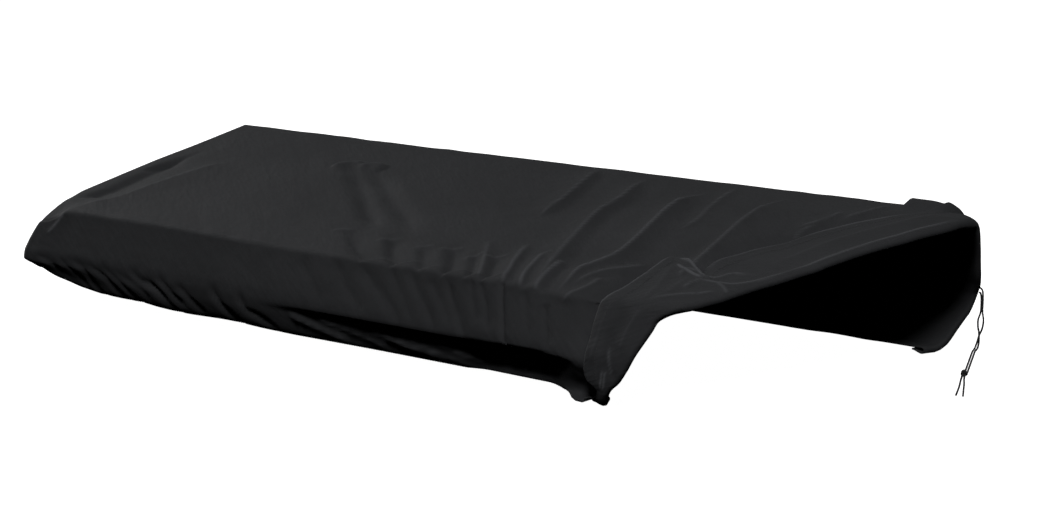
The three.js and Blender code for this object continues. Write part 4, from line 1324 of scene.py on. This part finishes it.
def stitch_tree():
    """A node tree that puts one thread stitch at each step along the lines that it is given."""
    tree = bpy.data.node_groups.new("hem_stitches", "GeometryNodeTree")
    tree.interface.new_socket("Lines", in_out="INPUT", socket_type="NodeSocketGeometry")
    for name in ("Pitch", "Length", "Thread"):
        tree.interface.new_socket(name, in_out="INPUT", socket_type="NodeSocketFloat")
    tree.interface.new_socket("Material", in_out="INPUT", socket_type="NodeSocketMaterial")
    tree.interface.new_socket("Stitches", in_out="OUTPUT", socket_type="NodeSocketGeometry")

    def add(kind, settings=None, **inputs):
        node = tree.nodes.new(kind)
        for name, value in (settings or {}).items():
            setattr(node, name, value)
        for name, value in inputs.items():
            if isinstance(value, bpy.types.NodeSocket):
                tree.links.new(value, node.inputs[name])
            else:
                node.inputs[name].default_value = value
        return node.outputs

    given = add("NodeGroupInput")
    line = add("GeometryNodeMeshToCurve", Mesh=given["Lines"])
    steps = add("GeometryNodeResampleCurve", {"mode": "LENGTH"}, Curve=line["Curve"], Length=given["Pitch"])
    way = add("GeometryNodeInputTangent")
    turn = add("FunctionNodeAlignRotationToVector", {"axis": "X"}, Vector=way["Tangent"])
    ball = add("GeometryNodeMeshUVSphere", Segments=STITCH_SIDES, Rings=STITCH_RINGS, Radius=0.5)
    size = add("ShaderNodeCombineXYZ", X=given["Length"], Y=given["Thread"], Z=given["Thread"])
    shaped = add("GeometryNodeTransform", Geometry=ball["Mesh"], Scale=size["Vector"])
    stitch = add("GeometryNodeSetShadeSmooth", Geometry=shaped["Geometry"])
    seam = add(
        "GeometryNodeInstanceOnPoints",
        Points=steps["Curve"],
        Instance=stitch["Geometry"],
        Rotation=turn["Rotation"],
    )
    real = add("GeometryNodeRealizeInstances", Geometry=seam["Instances"])
    finished = add("GeometryNodeSetMaterial", Geometry=real["Geometry"], Material=given["Material"])
    add("NodeGroupOutput", Stitches=finished["Geometry"])
    return tree


class MakeStitches(bpy.types.Operator):
    """Makes the stitches that hold the hem, along every free edge"""

    bl_idname = "dustcover.make_stitches"
    bl_label = "Hem stitches"

    def execute(self, context):
        settings = context.scene.dust_cover_stitches
        cloth = context.scene.dust_cover_cloth
        lines = hem_lines(
            settings.inset / MM,
            (cloth.thickness / 2 + OUTER_HEM * cloth.hem_rise) / MM,
            (cloth.thickness / 2 + INNER_HEM * cloth.hem_rise) / MM,
            cloth.fold_strength,
        )
        seams = self.add_lines(lines)
        tree = stitch_tree()
        modifier = seams.modifiers.new("stitches", "NODES")
        modifier.node_group = tree
        values = {
            "Pitch": settings.pitch,
            "Length": settings.length,
            "Thread": settings.thread,
            "Material": cord_finish("sewing_thread", settings.colour, THREAD_ROUGHNESS),
        }
        for socket in tree.interface.items_tree:
            if socket.name in values:
                modifier[socket.identifier] = values[socket.name]
        context.view_layer.update()
        made = bpy.data.meshes.new_from_object(seams.evaluated_get(context.evaluated_depsgraph_get()))
        bpy.data.objects.remove(seams)
        made.materials.clear()
        made.materials.append(values["Material"])
        stitches = add_object("hem_stitches", made)
        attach(stitches, "root")
        return {"FINISHED"}

    def add_lines(self, lines):
        """The lines as bare edges."""
        starts = np.cumsum([0] + [len(line) for line in lines])
        edges = [(i, i + 1) for start, end in zip(starts[:-1], starts[1:]) for i in range(start, end - 1)]
        mesh = bpy.data.meshes.new("hem_lines")
        mesh.from_pydata((np.concatenate(lines) * MM).tolist(), edges, [])
        return add_object("hem_lines", mesh)


class MakeCover(bpy.types.Operator):
    """Makes the cover's cloth with its folds and its turned-back end"""

    bl_idname = "dustcover.make_cover"
    bl_label = "Cover"

    def execute(self, context):
        settings = context.scene.dust_cover_cloth
        sheet = cover_sheet(settings.fold_strength)
        points, faces, flat, stretch = closed_cloth(
            sheet, settings.thickness / MM, settings.hem_width / MM, settings.hem_rise / MM
        )
        uv = (flat - FLAT_FROM) / FLAT_SIZE
        cover = mesh_piece("cover_cloth", points, faces, knit_finish(settings), uv)
        # The painted crest highlight, kept on each point for the cloth's colour
        tone_and_highlight = cover.data.attributes.new("stretch", "FLOAT", "POINT")
        tone_and_highlight.data.foreach_set("value", stretch.astype(np.float32))
        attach(cover, "root")
        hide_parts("cover")
        return {"FINISHED"}


class DustCoverPanel(bpy.types.Panel):
    """Lists the cover's pieces and their sizes"""

    bl_label = "Dust cover"
    bl_idname = "DUSTCOVER_PT_pieces"
    bl_space_type = "VIEW_3D"
    bl_region_type = "UI"
    bl_category = "Dust cover"

    def draw(self, context):
        layout = self.layout
        for operator, group in PIECES:
            layout.operator(operator.bl_idname)
            settings = getattr(context.scene, group)
            for name in settings.bl_rna.properties.keys():
                if name not in ("rna_type", "name"):
                    layout.prop(settings, name)


PIECES = (
    (MakeStage, "dust_cover_stage"),
    (MakeDrawcord, "dust_cover_drawcord"),
    (MakeStitches, "dust_cover_stitches"),
    (MakeCover, "dust_cover_cloth"),
)
SETTINGS = {
    "dust_cover_stage": StageSettings,
    "dust_cover_drawcord": DrawcordSettings,
    "dust_cover_cloth": CoverSettings,
    "dust_cover_stitches": StitchSettings,
}


def register():
    for name, group in SETTINGS.items():
        bpy.utils.register_class(group)
        setattr(bpy.types.Scene, name, PointerProperty(type=group))
    for operator, _ in PIECES:
        bpy.utils.register_class(operator)
    bpy.utils.register_class(DustCoverPanel)


def unregister():
    bpy.utils.unregister_class(DustCoverPanel)
    for operator, _ in reversed(PIECES):
        bpy.utils.unregister_class(operator)
    for name, group in SETTINGS.items():
        delattr(bpy.types.Scene, name)
        bpy.utils.unregister_class(group)


def main():
    register()
    bpy.ops.dustcover.make_stage()
    bpy.ops.dustcover.make_drawcord()
    bpy.ops.dustcover.make_stitches()
    bpy.ops.dustcover.make_cover()
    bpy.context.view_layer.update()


if __name__ == "__main__":
    main()
